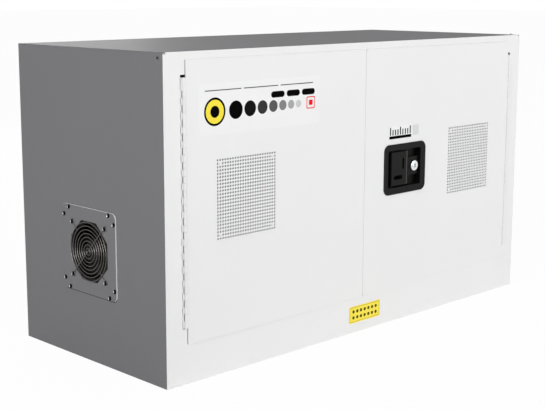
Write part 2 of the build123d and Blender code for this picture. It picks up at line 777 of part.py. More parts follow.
with BuildPart() as fan_plate:
    with BuildSketch(facing_left(left)):
        with Locations((0, fan_z)):
            RectangleRounded(fan_plate_size, fan_plate_size, fan_plate_corner)
            RegularPolygon(octagon_radius, 8, major_radius=False, rotation=22.5, mode=Mode.SUBTRACT)
            for far, near in ((plate_screw_far, plate_screw_near), (plate_screw_near, plate_screw_far)):
                with GridLocations(2 * far, 2 * near, 2, 2):
                    RegularPolygon(screw_radius + screw_clearance, fastener_sides, mode=Mode.SUBTRACT)
            with GridLocations(fan_hole_pitch, fan_hole_pitch, 2, 2):
                RegularPolygon(screw_radius + screw_clearance, fastener_sides, mode=Mode.SUBTRACT)
    extrude(amount=fan_plate_thickness)
save(fan_plate, "fan_plate")

with BuildPart() as plate_screws:
    for far, near in ((plate_screw_far, plate_screw_near), (plate_screw_near, plate_screw_far)):
        for radius, sides, length in screw_steps:
            with BuildSketch(facing_left(fan_x)):
                with Locations((0, fan_z)):
                    with GridLocations(2 * far, 2 * near, 2, 2):
                        RegularPolygon(radius, sides)
            extrude(amount=length)
save(plate_screws, "plate_screws")

wire_step = (1 - guard_weld) * guard_wire
ring_face = fan_x - wire_step
outer_spoke = fan_x - 2 * wire_step
eye_offset = fan_hole_pitch / 2
spoke_length = 2 * (eye_offset * 2**0.5 - guard_eye / 2)
with BuildPart() as finger_guard:
    with BuildSketch(facing_left(ring_face)):
        with Locations((0, fan_z)):
            for ring in range(guard_rings):
                radius = guard_outer - ring * guard_pitch
                RegularPolygon(radius + guard_wire / 2, guard_sides)
                RegularPolygon(radius - guard_wire / 2, guard_sides, mode=Mode.SUBTRACT)
    extrude(amount=guard_wire)
    # One diagonal spoke runs over the rings and the other runs under them
    for face, tilt in ((outer_spoke, -45), (fan_x, 45)):
        with BuildSketch(facing_left(face)):
            with Locations((0, fan_z)):
                Rectangle(spoke_length, guard_wire, rotation=tilt)
        extrude(amount=guard_wire)
        with BuildSketch(facing_left(fan_x)):
            with Locations((0, fan_z)):
                with Locations((-eye_offset, eye_offset * -tilt / 45), (eye_offset, eye_offset * tilt / 45)):
                    RegularPolygon(guard_eye, head_sides)
                    RegularPolygon(screw_radius + screw_clearance, fastener_sides, mode=Mode.SUBTRACT)
        extrude(amount=fan_x - face + guard_wire)
save(finger_guard, "finger_guard")

with BuildPart() as guard_screws:
    for face, tilt in ((outer_spoke, -1), (fan_x, 1)):
        eyes = ((-eye_offset, -eye_offset * tilt), (eye_offset, eye_offset * tilt))
        eye_face = face - guard_wire
        shank = left + guard_screw_reach - eye_face
        guard_steps = ((screw_head, head_sides, screw_head_height), (screw_radius, fastener_sides, -shank))
        for radius, sides, length in guard_steps:
            with BuildSketch(facing_left(eye_face)):
                with Locations((0, fan_z)):
                    with Locations(*eyes):
                        RegularPolygon(radius, sides)
            extrude(amount=length)
save(guard_screws, "guard_screws")

base_face = left + wall - strut_depth
with BuildPart() as fan_frame:
    with BuildSketch(facing_left(left)):
        with Locations((0, fan_z)):
            RectangleRounded(fan_size, fan_size, fan_corner)
            RegularPolygon(fan_bore, 2 * turned_sides, mode=Mode.SUBTRACT)
            with GridLocations(fan_hole_pitch, fan_hole_pitch, 2, 2):
                RegularPolygon(screw_radius + screw_clearance, fastener_sides, mode=Mode.SUBTRACT)
    extrude(amount=-wall)
    with BuildSketch(facing_left(base_face)):
        with Locations((0, fan_z)):
            for tilt in (45, -45):
                Rectangle(2 * (fan_bore + strut_root), strut_width, rotation=tilt)
            RegularPolygon(hub_radius, turned_sides)
    extrude(amount=-strut_depth)
save(fan_frame, "fan_frame")

rotor_back = base_face - 2 * rotor_gap
motor_front = rotor_back - hub_depth + hub_wall + rotor_gap
with BuildPart() as fan_motor:
    with BuildSketch(facing_left(base_face)):
        with Locations((0, fan_z)):
            RegularPolygon(motor_radius, head_sides)
            Circle(shaft_radius + shaft_clearance, mode=Mode.SUBTRACT)
    extrude(amount=base_face - motor_front)
save(fan_motor, "fan_motor")

blade_middle = rotor_back - hub_depth / 2
blade_root = hub_radius - hub_wall / 2
with BuildPart(mode=Mode.PRIVATE) as blade:
    chord_way = Vector(0, 1, 0).rotate(Axis.Z, -blade_angle)
    with BuildSketch(Plane((blade_middle, 0, fan_z + blade_root), x_dir=chord_way, z_dir=(0, 0, 1))):
        Rectangle(blade_chord, blade_thickness)
    extrude(amount=blade_tip - blade_root)
with BuildPart() as fan_rotor:
    with BuildSketch(facing_left(rotor_back)):
        with Locations((0, fan_z)):
            RegularPolygon(hub_radius, turned_sides)
    extrude(amount=hub_depth)
    with BuildSketch(facing_left(rotor_back)):
        with Locations((0, fan_z)):
            RegularPolygon(hub_radius - hub_wall, turned_sides)
    extrude(amount=hub_depth - hub_wall, mode=Mode.SUBTRACT)
    with BuildSketch(facing_left(base_face - rotor_gap)):
        with Locations((0, fan_z)):
            Circle(shaft_radius)
    extrude(amount=hub_depth)
    for k in range(blade_count):
        add(blade.part.rotate(Axis((0, 0, fan_z), (1, 0, 0)), k * 360 / blade_count))
save(fan_rotor, "fan_rotor")

# ---------------------------------------------------------------------------------------
# Inside the case
# ---------------------------------------------------------------------------------------
shelf_x = (inner_left + shelf_gap, inner_right - shelf_gap)
shelf_y = (front + pan_depth + shelf_front, inner_back - shelf_back)
with BuildPart() as shelf:
    block(shelf_x, shelf_y, (shelf_z - shelf_flange, shelf_z))
    offset(amount=-sheet, openings=shelf.faces().sort_by(Axis.Z)[0])
    with BuildSketch(Plane.XY.offset(shelf_z)):
        with Locations((0, (shelf_y[0] + shelf_y[1]) / 2)):
            with GridLocations(*shelf_slot_pitch, *shelf_slots):
                Rectangle(*shelf_slot)
    extrude(amount=-sheet, mode=Mode.SUBTRACT)
save(shelf, "shelf")

with BuildPart() as shelf_brackets:
    ledge = shelf_z - shelf_flange
    for edge, turn in ((inner_left, 1), (inner_right, -1)):
        for y in (shelf_y[0] + bracket_inset, shelf_y[1] - bracket_inset):
            depth = (y - bracket_size[0] / 2, y + bracket_size[0] / 2)
            block(sorted((edge, edge + turn * bracket_sheet)), depth, (ledge - bracket_size[1], ledge))
            block(sorted((edge, edge + turn * bracket_size[1] / 2)), depth, (ledge - bracket_sheet, ledge))
save(shelf_brackets, "shelf_brackets")

strip_front = inner_back - strip_bracket[1] - strip_size[1]
with BuildPart() as socket_strip:
    with BuildSketch(facing_front(strip_front + strip_size[1])):
        with Locations((0, strip_z)):
            Rectangle(strip_size[0], strip_size[2])
    extrude(amount=strip_size[1])
    fillet(socket_strip.faces().sort_by(Axis.Y)[0].edges().filter_by(Axis.X), radius=strip_bracket[1])
    with BuildSketch(facing_front(strip_front)):
        with Locations((0, strip_z)):
            with GridLocations(socket_pitch, 0, socket_count, 1):
                Rectangle(*socket_size)
    extrude(amount=-socket_depth, mode=Mode.SUBTRACT)
save(socket_strip, "socket_strip")

with BuildPart() as sockets:
    with BuildSketch(facing_front(strip_front + socket_depth)):
        with Locations((0, strip_z)):
            with GridLocations(socket_pitch, 0, socket_count, 1):
                Rectangle(*socket_size)
    extrude(amount=socket_depth - sheet)
save(sockets, "sockets")

with BuildPart() as strip_brackets:
    for x in (-strip_size[0] / 2 + strip_bracket[0], strip_size[0] / 2 - strip_bracket[0]):
        block(
            (x - strip_bracket[0] / 2, x + strip_bracket[0] / 2),
            (inner_back - strip_bracket[1], inner_back),
            (strip_z - strip_size[2] / 2, strip_z + strip_size[2] / 2 + lip),
        )
save(strip_brackets, "strip_brackets")

with BuildPart() as cable_inlet:
    with BuildSketch(facing_front(back + inlet_lip)):
        with Locations((inlet_x, inlet_z)):
            RegularPolygon(inlet_flange, turned_sides)
    extrude(amount=inlet_lip)
    with BuildSketch(facing_front(back)):
        with Locations((inlet_x, inlet_z)):
            RegularPolygon(inlet_body, turned_sides)
    extrude(amount=wall + inlet_lip)
    with BuildSketch(facing_front(back + inlet_lip)):
        with Locations((inlet_x, inlet_z)):
            Circle(inlet_bore)
    extrude(amount=wall + 2 * inlet_lip, mode=Mode.SUBTRACT)
save(cable_inlet, "cable_inlet")

# ---------------------------------------------------------------------------------------
# Small parts on the case
# ---------------------------------------------------------------------------------------
with BuildPart() as ground_screw:
    for radius, sides, length in (
        (ground_radius, head_sides, ground_height),
        (screw_radius, fastener_sides, -screw_length),
    ):
        with BuildSketch(Plane.XY.offset(case_height)):
            with Locations((ground_x, front + ground_y)):
                RegularPolygon(radius, sides)
        extrude(amount=length)
    chamfer(ground_screw.faces().sort_by(Axis.Z)[-1].edges(), length=ground_height / 3)
save(ground_screw, "ground_screw")

with BuildPart() as side_insert:
    for radius, length in ((insert_flange, insert_lip), (insert_body - insert_fit, -insert_length)):
        with BuildSketch(facing_left(left)):
            with Locations((-front - insert_y, insert_z)):
                RegularPolygon(radius, head_sides)
        extrude(amount=length)
    with BuildSketch(facing_left(left - insert_lip)):
        with Locations((-front - insert_y, insert_z)):
            RegularPolygon(insert_bore, fastener_sides)
    extrude(amount=-insert_length, mode=Mode.SUBTRACT)
save(side_insert, "side_insert")
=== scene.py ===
"""Finishes and fine pieces of a battery charging cabinet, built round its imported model.

Sizes are in millimetres until they reach Blender, which works in metres. X runs to the right
along the front, Y from the doors to the back and Z up, from the middle of the case's bottom.
"""

from __future__ import annotations

import logging
from collections.abc import Callable, Iterator, Sequence
from contextlib import contextmanager
from dataclasses import dataclass
from enum import Enum
from math import atan2, cos, pi, radians, sin, tau
from typing import Any

import bmesh
import bpy
from mathutils import Matrix, Vector

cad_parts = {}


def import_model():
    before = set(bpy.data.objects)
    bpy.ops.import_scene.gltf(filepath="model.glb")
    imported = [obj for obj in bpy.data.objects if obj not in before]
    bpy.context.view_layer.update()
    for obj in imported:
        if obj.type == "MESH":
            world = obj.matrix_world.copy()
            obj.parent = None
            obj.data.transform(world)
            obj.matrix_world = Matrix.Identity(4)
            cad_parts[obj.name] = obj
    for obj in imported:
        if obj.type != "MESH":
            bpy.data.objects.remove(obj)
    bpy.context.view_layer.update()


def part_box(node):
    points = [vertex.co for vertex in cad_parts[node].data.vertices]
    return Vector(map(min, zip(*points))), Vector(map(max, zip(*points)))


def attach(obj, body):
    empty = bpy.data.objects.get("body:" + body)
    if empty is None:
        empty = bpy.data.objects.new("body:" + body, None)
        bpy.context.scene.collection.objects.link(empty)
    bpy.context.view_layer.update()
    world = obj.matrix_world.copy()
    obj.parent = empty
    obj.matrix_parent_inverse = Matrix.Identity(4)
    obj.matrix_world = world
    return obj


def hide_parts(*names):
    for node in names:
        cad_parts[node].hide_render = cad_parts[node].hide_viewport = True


LOG = logging.getLogger("cabinet")
MM = 0.001  # metres in a millimetre
WELD = 0.01 * MM  # points closer than this are one point
SMOOTH = radians(35)  # edges flatter than this are shaded as one surface
FLAT = radians(0.5)  # and faces that meet flatter than this become one face
PARALLEL = 0.999  # an edge follows an axis if its way's part along it is more than this
SQUARE = 0.9  # a face is square to an axis if its normal's part along it is more than this
WIRE_SIDES = 8  # flats round a wire
FLAT_WEIGHT = 80  # how far the large faces set the shading beside a rounding

Pair = tuple[float, float]
Triple = tuple[float, float, float]
Object = bpy.types.Object
Edge = bmesh.types.BMEdge
Face = bmesh.types.BMFace
Tree = bpy.types.NodeTree
Socket = bpy.types.NodeSocket


class Side(Enum):
    """The two doors, by where they hang."""

    LEFT = "left"
    RIGHT = "right"

    @property
    def inward(self) -> int:
        """+1 or -1: the way along X from this side's hinge to the doors' meeting line."""
        return 1 if self is Side.LEFT else -1


class Axis(Enum):
    """An axis, as the turn that lays a primitive's own Z along it."""

    X = (0.0, pi / 2, 0.0)
    Y = (-pi / 2, 0.0, 0.0)
    Z = (0.0, 0.0, 0.0)


class Element(Enum):
    """What a pick selects."""

    VERT = "VERT"
    EDGE = "EDGE"
    FACE = "FACE"


# ---------------------------------------------------------------------------------------
# The bench: making and shaping meshes
# ---------------------------------------------------------------------------------------
def single_out(piece: Object) -> None:
    """Leave one object selected and active."""
    bpy.ops.object.select_all(action="DESELECT")
    piece.select_set(True)
    bpy.context.view_layer.objects.active = piece


@contextmanager
def editing(piece: Object) -> Iterator[None]:
    """Open a piece in edit mode with nothing selected, and close it again."""
    single_out(piece)
    bpy.ops.object.mode_set(mode="EDIT")
    bpy.ops.mesh.select_all(action="DESELECT")
    yield
    bpy.ops.object.mode_set(mode="OBJECT")


def pick(piece: Object, kind: Element, test: Callable[[Any], bool]) -> None:
    """Select, in edit mode, the elements of one kind that pass a test, and nothing else."""
    bpy.ops.mesh.select_all(action="DESELECT")
    bpy.ops.mesh.select_mode(type=kind.value)
    mesh = bmesh.from_edit_mesh(piece.data)
    group = {Element.VERT: mesh.verts, Element.EDGE: mesh.edges, Element.FACE: mesh.faces}[kind]
    chosen = [element for element in group if test(element)]
    for element in chosen:
        element.select_set(True)
    bmesh.update_edit_mesh(piece.data)


def bevel(width: float, segments: int) -> None:
    """Round, in edit mode, the selected edges by a width in millimetres."""
    bpy.ops.mesh.bevel(offset=width * MM, segments=segments, affect="EDGES")


def inset(width: float, depth: float = 0.0) -> None:
    """Set in, in edit mode, the selected faces by a width and a depth in millimetres."""
    bpy.ops.mesh.inset(thickness=width * MM, depth=depth * MM)


def push(x: float, y: float, z: float) -> None:
    """Extrude, in edit mode, the selected faces along a way in millimetres."""
    bpy.ops.mesh.extrude_region_move(TRANSFORM_OT_translate={"value": (x * MM, y * MM, z * MM)})


def middle(edge: Edge) -> Vector:
    """The middle of an edge."""
    return (edge.verts[0].co + edge.verts[1].co) / 2


def runs_along(edge: Edge, axis: int) -> bool:
    """Whether an edge is parallel to an axis, given as 0, 1 or 2."""
    way = (edge.verts[1].co - edge.verts[0].co).normalized()
    return abs(way[axis]) > PARALLEL


def lies_at(edge: Edge, axis: int, place: float) -> bool:
    """Whether both ends of an edge are at one place along an axis, in metres."""
    return all(abs(vert.co[axis] - place) < WELD for vert in edge.verts)


def metres(point: Sequence[float]) -> Vector:
    """A point or size in millimetres as a vector in metres."""
    return Vector(point) * MM


def box_of(node: str) -> tuple[Vector, Vector]:
    """The lowest and highest corner of a CAD node, in millimetres."""
    low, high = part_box(node)
    return low / MM, high / MM


def middle_of(node: str) -> Vector:
    """The middle of a CAD node's box, in millimetres."""
    low, high = box_of(node)
    return (low + high) / 2


def corners(across: float, rise: float) -> list[Pair]:
    """The four corners of an upright rectangle about its middle."""
    return [(x, z) for x in (-across, across) for z in (-rise, rise)]


def settle(name: str) -> Object:
    """Name the newest primitive and bring its place, turn and size into its mesh."""
    piece = bpy.context.object
    piece.name = piece.data.name = name
    single_out(piece)
    bpy.ops.object.transform_apply(location=True, rotation=True, scale=True)
    return piece


def block(name: str, low: Sequence[float], high: Sequence[float]) -> Object:
    """Make a box between two corners.

    Args:
        name: The piece's name.
        low: Its lowest corner, in millimetres.
        high: Its highest corner, in millimetres.

    Returns:
        The new mesh object.
    """
    low, high = metres(low), metres(high)
    bpy.ops.object.select_all(action="DESELECT")
    bpy.ops.mesh.primitive_cube_add(size=1, location=(low + high) / 2, scale=high - low)
    return settle(name)


def drum(
    name: str, foot: Sequence[float], axis: Axis, radius: float, length: float, sides: int
) -> Object:
    """Make a round bar.

    Args:
        name: The piece's name.
        foot: The middle of its first end, in millimetres.
        axis: The axis that it follows.
        radius: Its radius, in millimetres.
        length: Its length from the foot, against the axis if negative.
        sides: How many flats its wall has.

    Returns:
        The new mesh object.
    """
    roll, lean, _ = axis.value
    way = Matrix.Rotation(lean, 3, "Y") @ Matrix.Rotation(roll, 3, "X") @ Vector((0, 0, 1))
    centre = metres(foot) + way * (length * MM / 2)
    bpy.ops.object.select_all(action="DESELECT")
    bpy.ops.mesh.primitive_cylinder_add(
        vertices=sides,
        radius=radius * MM,
        depth=abs(length) * MM,
        location=centre,
        rotation=axis.value,
    )
    return settle(name)


def ring(
    name: str, centre: Sequence[float], axis: Axis, radius: float, wire: float, sides: int
) -> Object:
    """Make a ring of round wire.

    Args:
        name: The piece's name.
        centre: The ring's centre, in millimetres.
        axis: The axis that it goes round.
        radius: Radius of the wire's middle line.
        wire: Diameter of the wire.
        sides: Steps round the ring.

    Returns:
        The new mesh object.
    """
    bpy.ops.object.select_all(action="DESELECT")
    bpy.ops.mesh.primitive_torus_add(
        major_radius=radius * MM,
        minor_radius=wire * MM / 2,
        major_segments=sides,
        minor_segments=WIRE_SIDES,
        location=metres(centre),
        rotation=axis.value,
    )
    return settle(name)


def work(piece: Object, kind: str, **settings: Any) -> None:
    """Give a piece a modifier of a kind, with its settings, and apply it."""
    modifier = piece.modifiers.new(kind.lower(), kind)
    for key, value in settings.items():
        setattr(modifier, key, value)
    single_out(piece)
    bpy.ops.object.modifier_apply(modifier=modifier.name)


def smooth(piece: Object) -> Object:
    """Shade a piece's rounded surfaces smooth, and keep its corners sharp and its flats flat."""
    single_out(piece)
    bpy.ops.object.shade_smooth_by_angle(angle=SMOOTH)
    work(piece, "WEIGHTED_NORMAL", keep_sharp=True, weight=FLAT_WEIGHT)
    return piece


def ease(piece: Object, width: float, segments: int = 2) -> Object:
    """Round every sharp edge of a piece by a width in millimetres."""
    work(
        piece,
        "BEVEL",
        width=width * MM,
        segments=segments,
        limit_method="ANGLE",
        angle_limit=SMOOTH,
        use_clamp_overlap=True,
    )
    return smooth(piece)


def copy_at(piece: Object, name: str, move: Matrix) -> Object:
    """A copy of a piece, with a mesh of its own, moved in its mesh."""
    twin = bpy.data.objects.new(name, piece.data.copy())
    twin.data.transform(move)
    bpy.context.scene.collection.objects.link(twin)
    return twin


def join(name: str, parts: Sequence[Object]) -> Object:
    """Make several meshes one piece, under the first one's data."""
    single_out(parts[0])
    for part in parts[1:]:
        part.select_set(True)
    bpy.ops.object.join()
    whole = bpy.context.object
    whole.name = whole.data.name = name
    return whole


def eased_copy(node: str, name: str, width: float, segments: int = 2) -> Object:
    """Copy a CAD node with its flats merged to whole faces and its edges eased.

    Args:
        node: The CAD node.
        name: The new piece's name.
        width: How far the edges are rounded, in millimetres.
        segments: Steps across each rounding.

    Returns:
        The new mesh object, at the node's place.
    """
    piece = bpy.data.objects.new(name, bpy.data.objects[node].data.copy())
    piece.data.name = name
    bpy.context.scene.collection.objects.link(piece)
    single_out(piece)
    bpy.ops.mesh.customdata_custom_splitnormals_clear()
    with editing(piece):
        bpy.ops.mesh.select_all(action="SELECT")
        bpy.ops.mesh.remove_doubles(threshold=WELD)
        bpy.ops.mesh.dissolve_limited(angle_limit=FLAT)
    return ease(piece, width, segments)


def tablet(name: str, low: Sequence[float], high: Sequence[float], corner: float) -> Object:
    """Make a thin plate that faces the front, with rounded corners.

    Args:
        name: The piece's name.
        low: Its lowest corner, in millimetres.
        high: Its highest corner, in millimetres.
        corner: Radius of its four corners.

    Returns:
        The new mesh object.
    """
    plate = block(name, low, high)
    with editing(plate):
        pick(plate, Element.EDGE, lambda edge: runs_along(edge, 1))
        bevel(corner, 12 if corner > 8 else 6)
    return plate


def is_end(face: Face, axis: int, place: float) -> bool:
    """Whether a face is flat across an axis at a place along it, in metres."""
    return all(abs(vert.co[axis] - place) < WELD for vert in face.verts)


# ---------------------------------------------------------------------------------------
# Finishes
# ---------------------------------------------------------------------------------------
def linear(colour: str) -> tuple[float, float, float, float]:
    """An sRGB hex colour as linear red, green, blue and alpha."""
    parts = [int(colour[k : k + 2], 16) / 255 for k in (0, 2, 4)]
    return (*[p / 12.92 if p <= 0.04045 else ((p + 0.055) / 1.055) ** 2.4 for p in parts], 1.0)


def per_mm(size: float) -> float:
    """The texture scale whose pattern has features of a size in millimetres."""
    return 1 / (size * MM)


def fade(colour: str, share: float, lift: float = 0.0) -> tuple[float, ...]:
    """A share of an sRGB hex colour's strength, lifted a little, as linear colour."""
    return (*[part * share + lift for part in linear(colour)[:3]], 1.0)


def add_node(
    tree: Tree,
    kind: str,
    values: dict[str | int, Any] | None = None,
    links: dict[str | int, Socket] | None = None,
    **settings: Any,
) -> bpy.types.Node:
    """Add a shader node with its settings, its sockets' values and its links."""
    node = tree.nodes.new(kind)
    for key, value in settings.items():
        setattr(node, key, value)
    for socket, value in (values or {}).items():
        node.inputs[socket].default_value = value
    for socket, source in (links or {}).items():
        tree.links.new(source, node.inputs[socket])
    return node


@dataclass(frozen=True)
class Finish:
    """A surface finish.

    Attributes:
        name: The material's name.
        slot: The record's material slot, or nothing for a print, film or trim. Not used.
        colour: Its main colour, as sRGB hex.
        roughness: How rough it is where it is smoothest.
        gloss: Its specular level, where 0.5 is a plain gloss.
    """

    name: str
    slot: str
    colour: str
    roughness: float
    gloss: float = 0.5

    def material(self) -> bpy.types.Material:
        """The finish's material, which is made at its first use."""
        made = bpy.data.materials.get(self.name)
        if made is None:
            made = bpy.data.materials.new(self.name)
            made.use_nodes = True
            made.node_tree.nodes.clear()
            shader = self.shade(made.node_tree).outputs[0]
            add_node(made.node_tree, "ShaderNodeOutputMaterial", links={"Surface": shader})
        return made

    def shade(self, tree: Tree) -> bpy.types.Node:
        """Build the finish's nodes and return the shader."""
        raise NotImplementedError


@dataclass(frozen=True)
class PowderCoat(Finish):
    """Baked polyester powder on sheet steel: even colour, satin sheen and a fine orange peel."""

    peel: float = 1.6  # size of the orange peel's dimples
    depth: float = 0.02  # their depth
    drift: float = 0.02  # how much the tone drifts over a panel
    cloud: float = 240.0  # over what distance
    dulling: float = 0.08  # how much rougher the dimples are than the rest

    def shade(self, tree: Tree) -> bpy.types.Node:
        """Build the coat: a slow drift of tone over the panel, and dimples in its surface."""
        place = {"Vector": add_node(tree, "ShaderNodeTexCoord").outputs["Object"]}
        values = {"Scale": per_mm(self.cloud), "Detail": 2.0}
        cloud = add_node(tree, "ShaderNodeTexNoise", values, place).outputs["Fac"]
        values = {"Scale": per_mm(self.peel), "Detail": 2.0, "Roughness": 0.45}
        dimples = add_node(tree, "ShaderNodeTexNoise", values, place).outputs["Fac"]
        values = {6: linear(self.colour), 7: fade(self.colour, 1 - self.drift)}
        tone = add_node(tree, "ShaderNodeMix", values, {0: cloud}, data_type="RGBA").outputs[2]
        values = {"To Min": self.roughness, "To Max": self.roughness + self.dulling}
        sheen = add_node(tree, "ShaderNodeMapRange", values, {"Value": dimples}).outputs[0]
        values = {"Strength": 0.25, "Distance": self.depth * MM}
        relief = add_node(tree, "ShaderNodeBump", values, {"Height": dimples}).outputs[0]
        values = {"Specular IOR Level": self.gloss}
        links = {"Base Color": tone, "Roughness": sheen, "Normal": relief}
        return add_node(tree, "ShaderNodeBsdfPrincipled", values, links)


@dataclass(frozen=True)
class Plating(Finish):
    """Plated or bare steel: a metal whose roughness varies in faint drawn streaks."""

    streak: Triple = (0.6, 0.6, 30.0)  # streaks' size along each axis
    contrast: float = 0.12  # how much the streaks change the roughness and the tone

    def shade(self, tree: Tree) -> bpy.types.Node:
        """Build the metal, with its streaks in roughness and tone."""
        place = {"Vector": add_node(tree, "ShaderNodeTexCoord").outputs["Object"]}
        values = {"Scale": tuple(per_mm(size) for size in self.streak)}
        drawn = add_node(tree, "ShaderNodeMapping", values, place).outputs[0]
        values = {"Scale": 1.0, "Detail": 3.0}
        streaks = add_node(tree, "ShaderNodeTexNoise", values, {"Vector": drawn}).outputs["Fac"]
        values = {6: linear(self.colour), 7: fade(self.colour, 1 - self.contrast)}
        tone = add_node(tree, "ShaderNodeMix", values, {0: streaks}, data_type="RGBA").outputs[2]
        values = {"To Min": self.roughness, "To Max": self.roughness + self.contrast}
        sheen = add_node(tree, "ShaderNodeMapRange", values, {"Value": streaks}).outputs[0]
        links = {"Base Color": tone, "Roughness": sheen}
        return add_node(tree, "ShaderNodeBsdfPrincipled", {"Metallic": 1.0}, links)


@dataclass(frozen=True)
class Moulding(Finish):
    """Moulded or cast dark parts: a fine leathery grain and rubbed, slightly glossier spots."""

    grain: float = 0.5  # size of the surface's grain
    depth: float = 0.03  # depth of the grain
    rubbed: str = "2E2B2A"  # tone of the rubbed spots
    spot: float = 28.0  # their size
    dulling: float = 0.12  # how much rougher the rest is

    def shade(self, tree: Tree) -> bpy.types.Node:
        """Build the grain, the rubbed spots and the sheen."""
        place = {"Vector": add_node(tree, "ShaderNodeTexCoord").outputs["Object"]}
        values = {"Scale": per_mm(self.grain), "Detail": 4.0, "Roughness": 0.6}
        grain = add_node(tree, "ShaderNodeTexNoise", values, place).outputs["Fac"]
        values = {"Scale": per_mm(self.spot), "Detail": 3.0}
        spots = add_node(tree, "ShaderNodeTexNoise", values, place).outputs["Fac"]
        values = {6: linear(self.colour), 7: linear(self.rubbed)}
        tone = add_node(tree, "ShaderNodeMix", values, {0: spots}, data_type="RGBA").outputs[2]
        values = {"To Min": self.roughness + self.dulling, "To Max": self.roughness}
        sheen = add_node(tree, "ShaderNodeMapRange", values, {"Value": spots}).outputs[0]
        values = {"Strength": 0.35, "Distance": self.depth * MM}
        relief = add_node(tree, "ShaderNodeBump", values, {"Height": grain}).outputs[0]
        values = {"Specular IOR Level": self.gloss}
        links = {"Base Color": tone, "Roughness": sheen, "Normal": relief}
        return add_node(tree, "ShaderNodeBsdfPrincipled", values, links)


@dataclass(frozen=True)
class FilterFoam(Finish):
    """Open-cell filter foam: dark, matt, and pitted all over."""

    cell: float = 1.1  # size of the foam's cells
    depth: float = 0.3  # their depth
    pit: float = 0.45  # share of the tone that is left in a pit: painted shade in the open cells

    def shade(self, tree: Tree) -> bpy.types.Node:
        """Build the cells as pits, painted darker than the struts between them as their shade."""
        place = {"Vector": add_node(tree, "ShaderNodeTexCoord").outputs["Object"]}
        values = {"Scale": per_mm(self.cell)}
        cells = add_node(tree, "ShaderNodeTexVoronoi", values, place).outputs["Distance"]
        values = {6: fade(self.colour, self.pit), 7: linear(self.colour)}
        tone = add_node(tree, "ShaderNodeMix", values, {0: cells}, data_type="RGBA").outputs[2]
        values = {"Strength": 0.8, "Distance": self.depth * MM}
        relief = add_node(tree, "ShaderNodeBump", values, {"Height": cells}).outputs[0]
        links = {"Base Color": tone, "Normal": relief}
        return add_node(tree, "ShaderNodeBsdfPrincipled", {"Roughness": self.roughness}, links)


@dataclass(frozen=True)
class Film(Finish):
    """Printed vinyl film: flat colour with a faint screen-print mottle and a satin laminate."""

    mottle: float = 3.0  # size of the print's mottle
    thin: float = 0.95  # share of the ink's strength where it is thin
    grey: float = 0.0005  # what thin ink adds to the tone
    depth: float = 0.01  # of the laminate's waves

    def shade(self, tree: Tree) -> bpy.types.Node:
        """Build the mottle and the laminate's sheen."""
        place = {"Vector": add_node(tree, "ShaderNodeTexCoord").outputs["Object"]}
        values = {"Scale": per_mm(self.mottle), "Detail": 3.0}
        mottle = add_node(tree, "ShaderNodeTexNoise", values, place).outputs["Fac"]
        values = {6: linear(self.colour), 7: fade(self.colour, self.thin, self.grey)}
        tone = add_node(tree, "ShaderNodeMix", values, {0: mottle}, data_type="RGBA").outputs[2]
        values = {"Strength": 0.1, "Distance": self.depth * MM}
        relief = add_node(tree, "ShaderNodeBump", values, {"Height": mottle}).outputs[0]
        values = {"Roughness": self.roughness, "Specular IOR Level": self.gloss}
        links = {"Base Color": tone, "Normal": relief}
        return add_node(tree, "ShaderNodeBsdfPrincipled", values, links)


# White powder on the doors and the frame: bright and even, with a soft sheen.
WHITE_COAT = PowderCoat("white_powder_coat", "white_steel", "F0F0F0", 0.42, 0.3)
# Grey powder on the outer skins: a flat mid grey that shows hardly any reflection.
GREY_COAT = PowderCoat("grey_powder_coat", "grey_steel", "7A7A7C", 0.46, 0.03)
# Light grey powder inside: paler than the skins, with a plain satin sheen.
LINER_COAT = PowderCoat("liner_powder_coat", "liner_steel", "B9BABC", 0.45)
# Anodised aluminium of the socket strip: the same grey, but with a much finer grain.
STRIP_COAT = PowderCoat("strip_anodising", "strip_grey", "B4B6BA", 0.35, peel=0.5, depth=0.008)
# Zinc on pins, rods and brackets: cool bright metal with drawn streaks.
ZINC = Plating("zinc_plate", "zinc_steel", "C2C6CB", 0.32)
# Passivated zinc of the insert: darker, so it doesn't glint on the grey wall.
DULL_ZINC = Plating("dull_zinc_plate", "zinc_steel", "8E9093", 0.4)
# Painted shade: a matt grey on the back of the hinge's slot and on the doors' hinged edges, so the
# gaps read as dashes and dark lines.
GAP_SHADE_PAINT = PowderCoat("painted_gap_shade", "", "5C5D5E", 0.6, 0.1)
# Painted highlight: near white on the fan plate's rim faces that look to the front or up, a fine
# bright line on those sides.
EDGE_HIGHLIGHT_PAINT = PowderCoat("painted_edge_highlight", "", "F8F8F8", 0.4, 0.4)
# Painted shade: near black on the plate's other rim faces, a fine dark line below and behind it.
EDGE_SHADE_PAINT = PowderCoat("painted_edge_shade", "", "262627", 0.6, 0.1)
# Polished chrome of the lock: near white, with the room's reflections.
CHROME = Plating("polished_chrome", "chrome", "E4E6E8", 0.12, contrast=0.05)
# Plated wire of the guard: grey brown metal with narrow highlights.
GUARD_WIRE = Plating("dark_wire", "guard_wire", "666361", 0.22)
# Black oxide on screws: soaks up light, so the heads read as black dots. The same black is painted
# shade in the insert's bore and the lock's keyway.
BLACK_OXIDE_AND_SHADE = Moulding("black_oxide_and_painted_shade", "black_screws", "030303", 0.45, 0.03, 0.3, rubbed="050505")
# Black paint on the latch's castings: deep black with a faint satin sheen.
BLACK_CAST = Moulding("black_cast_paint", "black_moulding", "101010", 0.32, 0.07, rubbed="121212")
# Painted highlight: the same paint in warm dark grey, on the dish's and paddle's edge faces that
# look to the front at a slant.
HIGHLIGHT_CAST = Moulding("painted_highlight_cast", "", "2C2927", 0.32, 0.14, rubbed="322E2C")
# The same paint on the pocket's floor: dull, and a little lighter than the rim.
POCKET_CAST = Moulding("pocket_cast_paint", "", "171615", 0.4, 0.05, rubbed="1A1918")
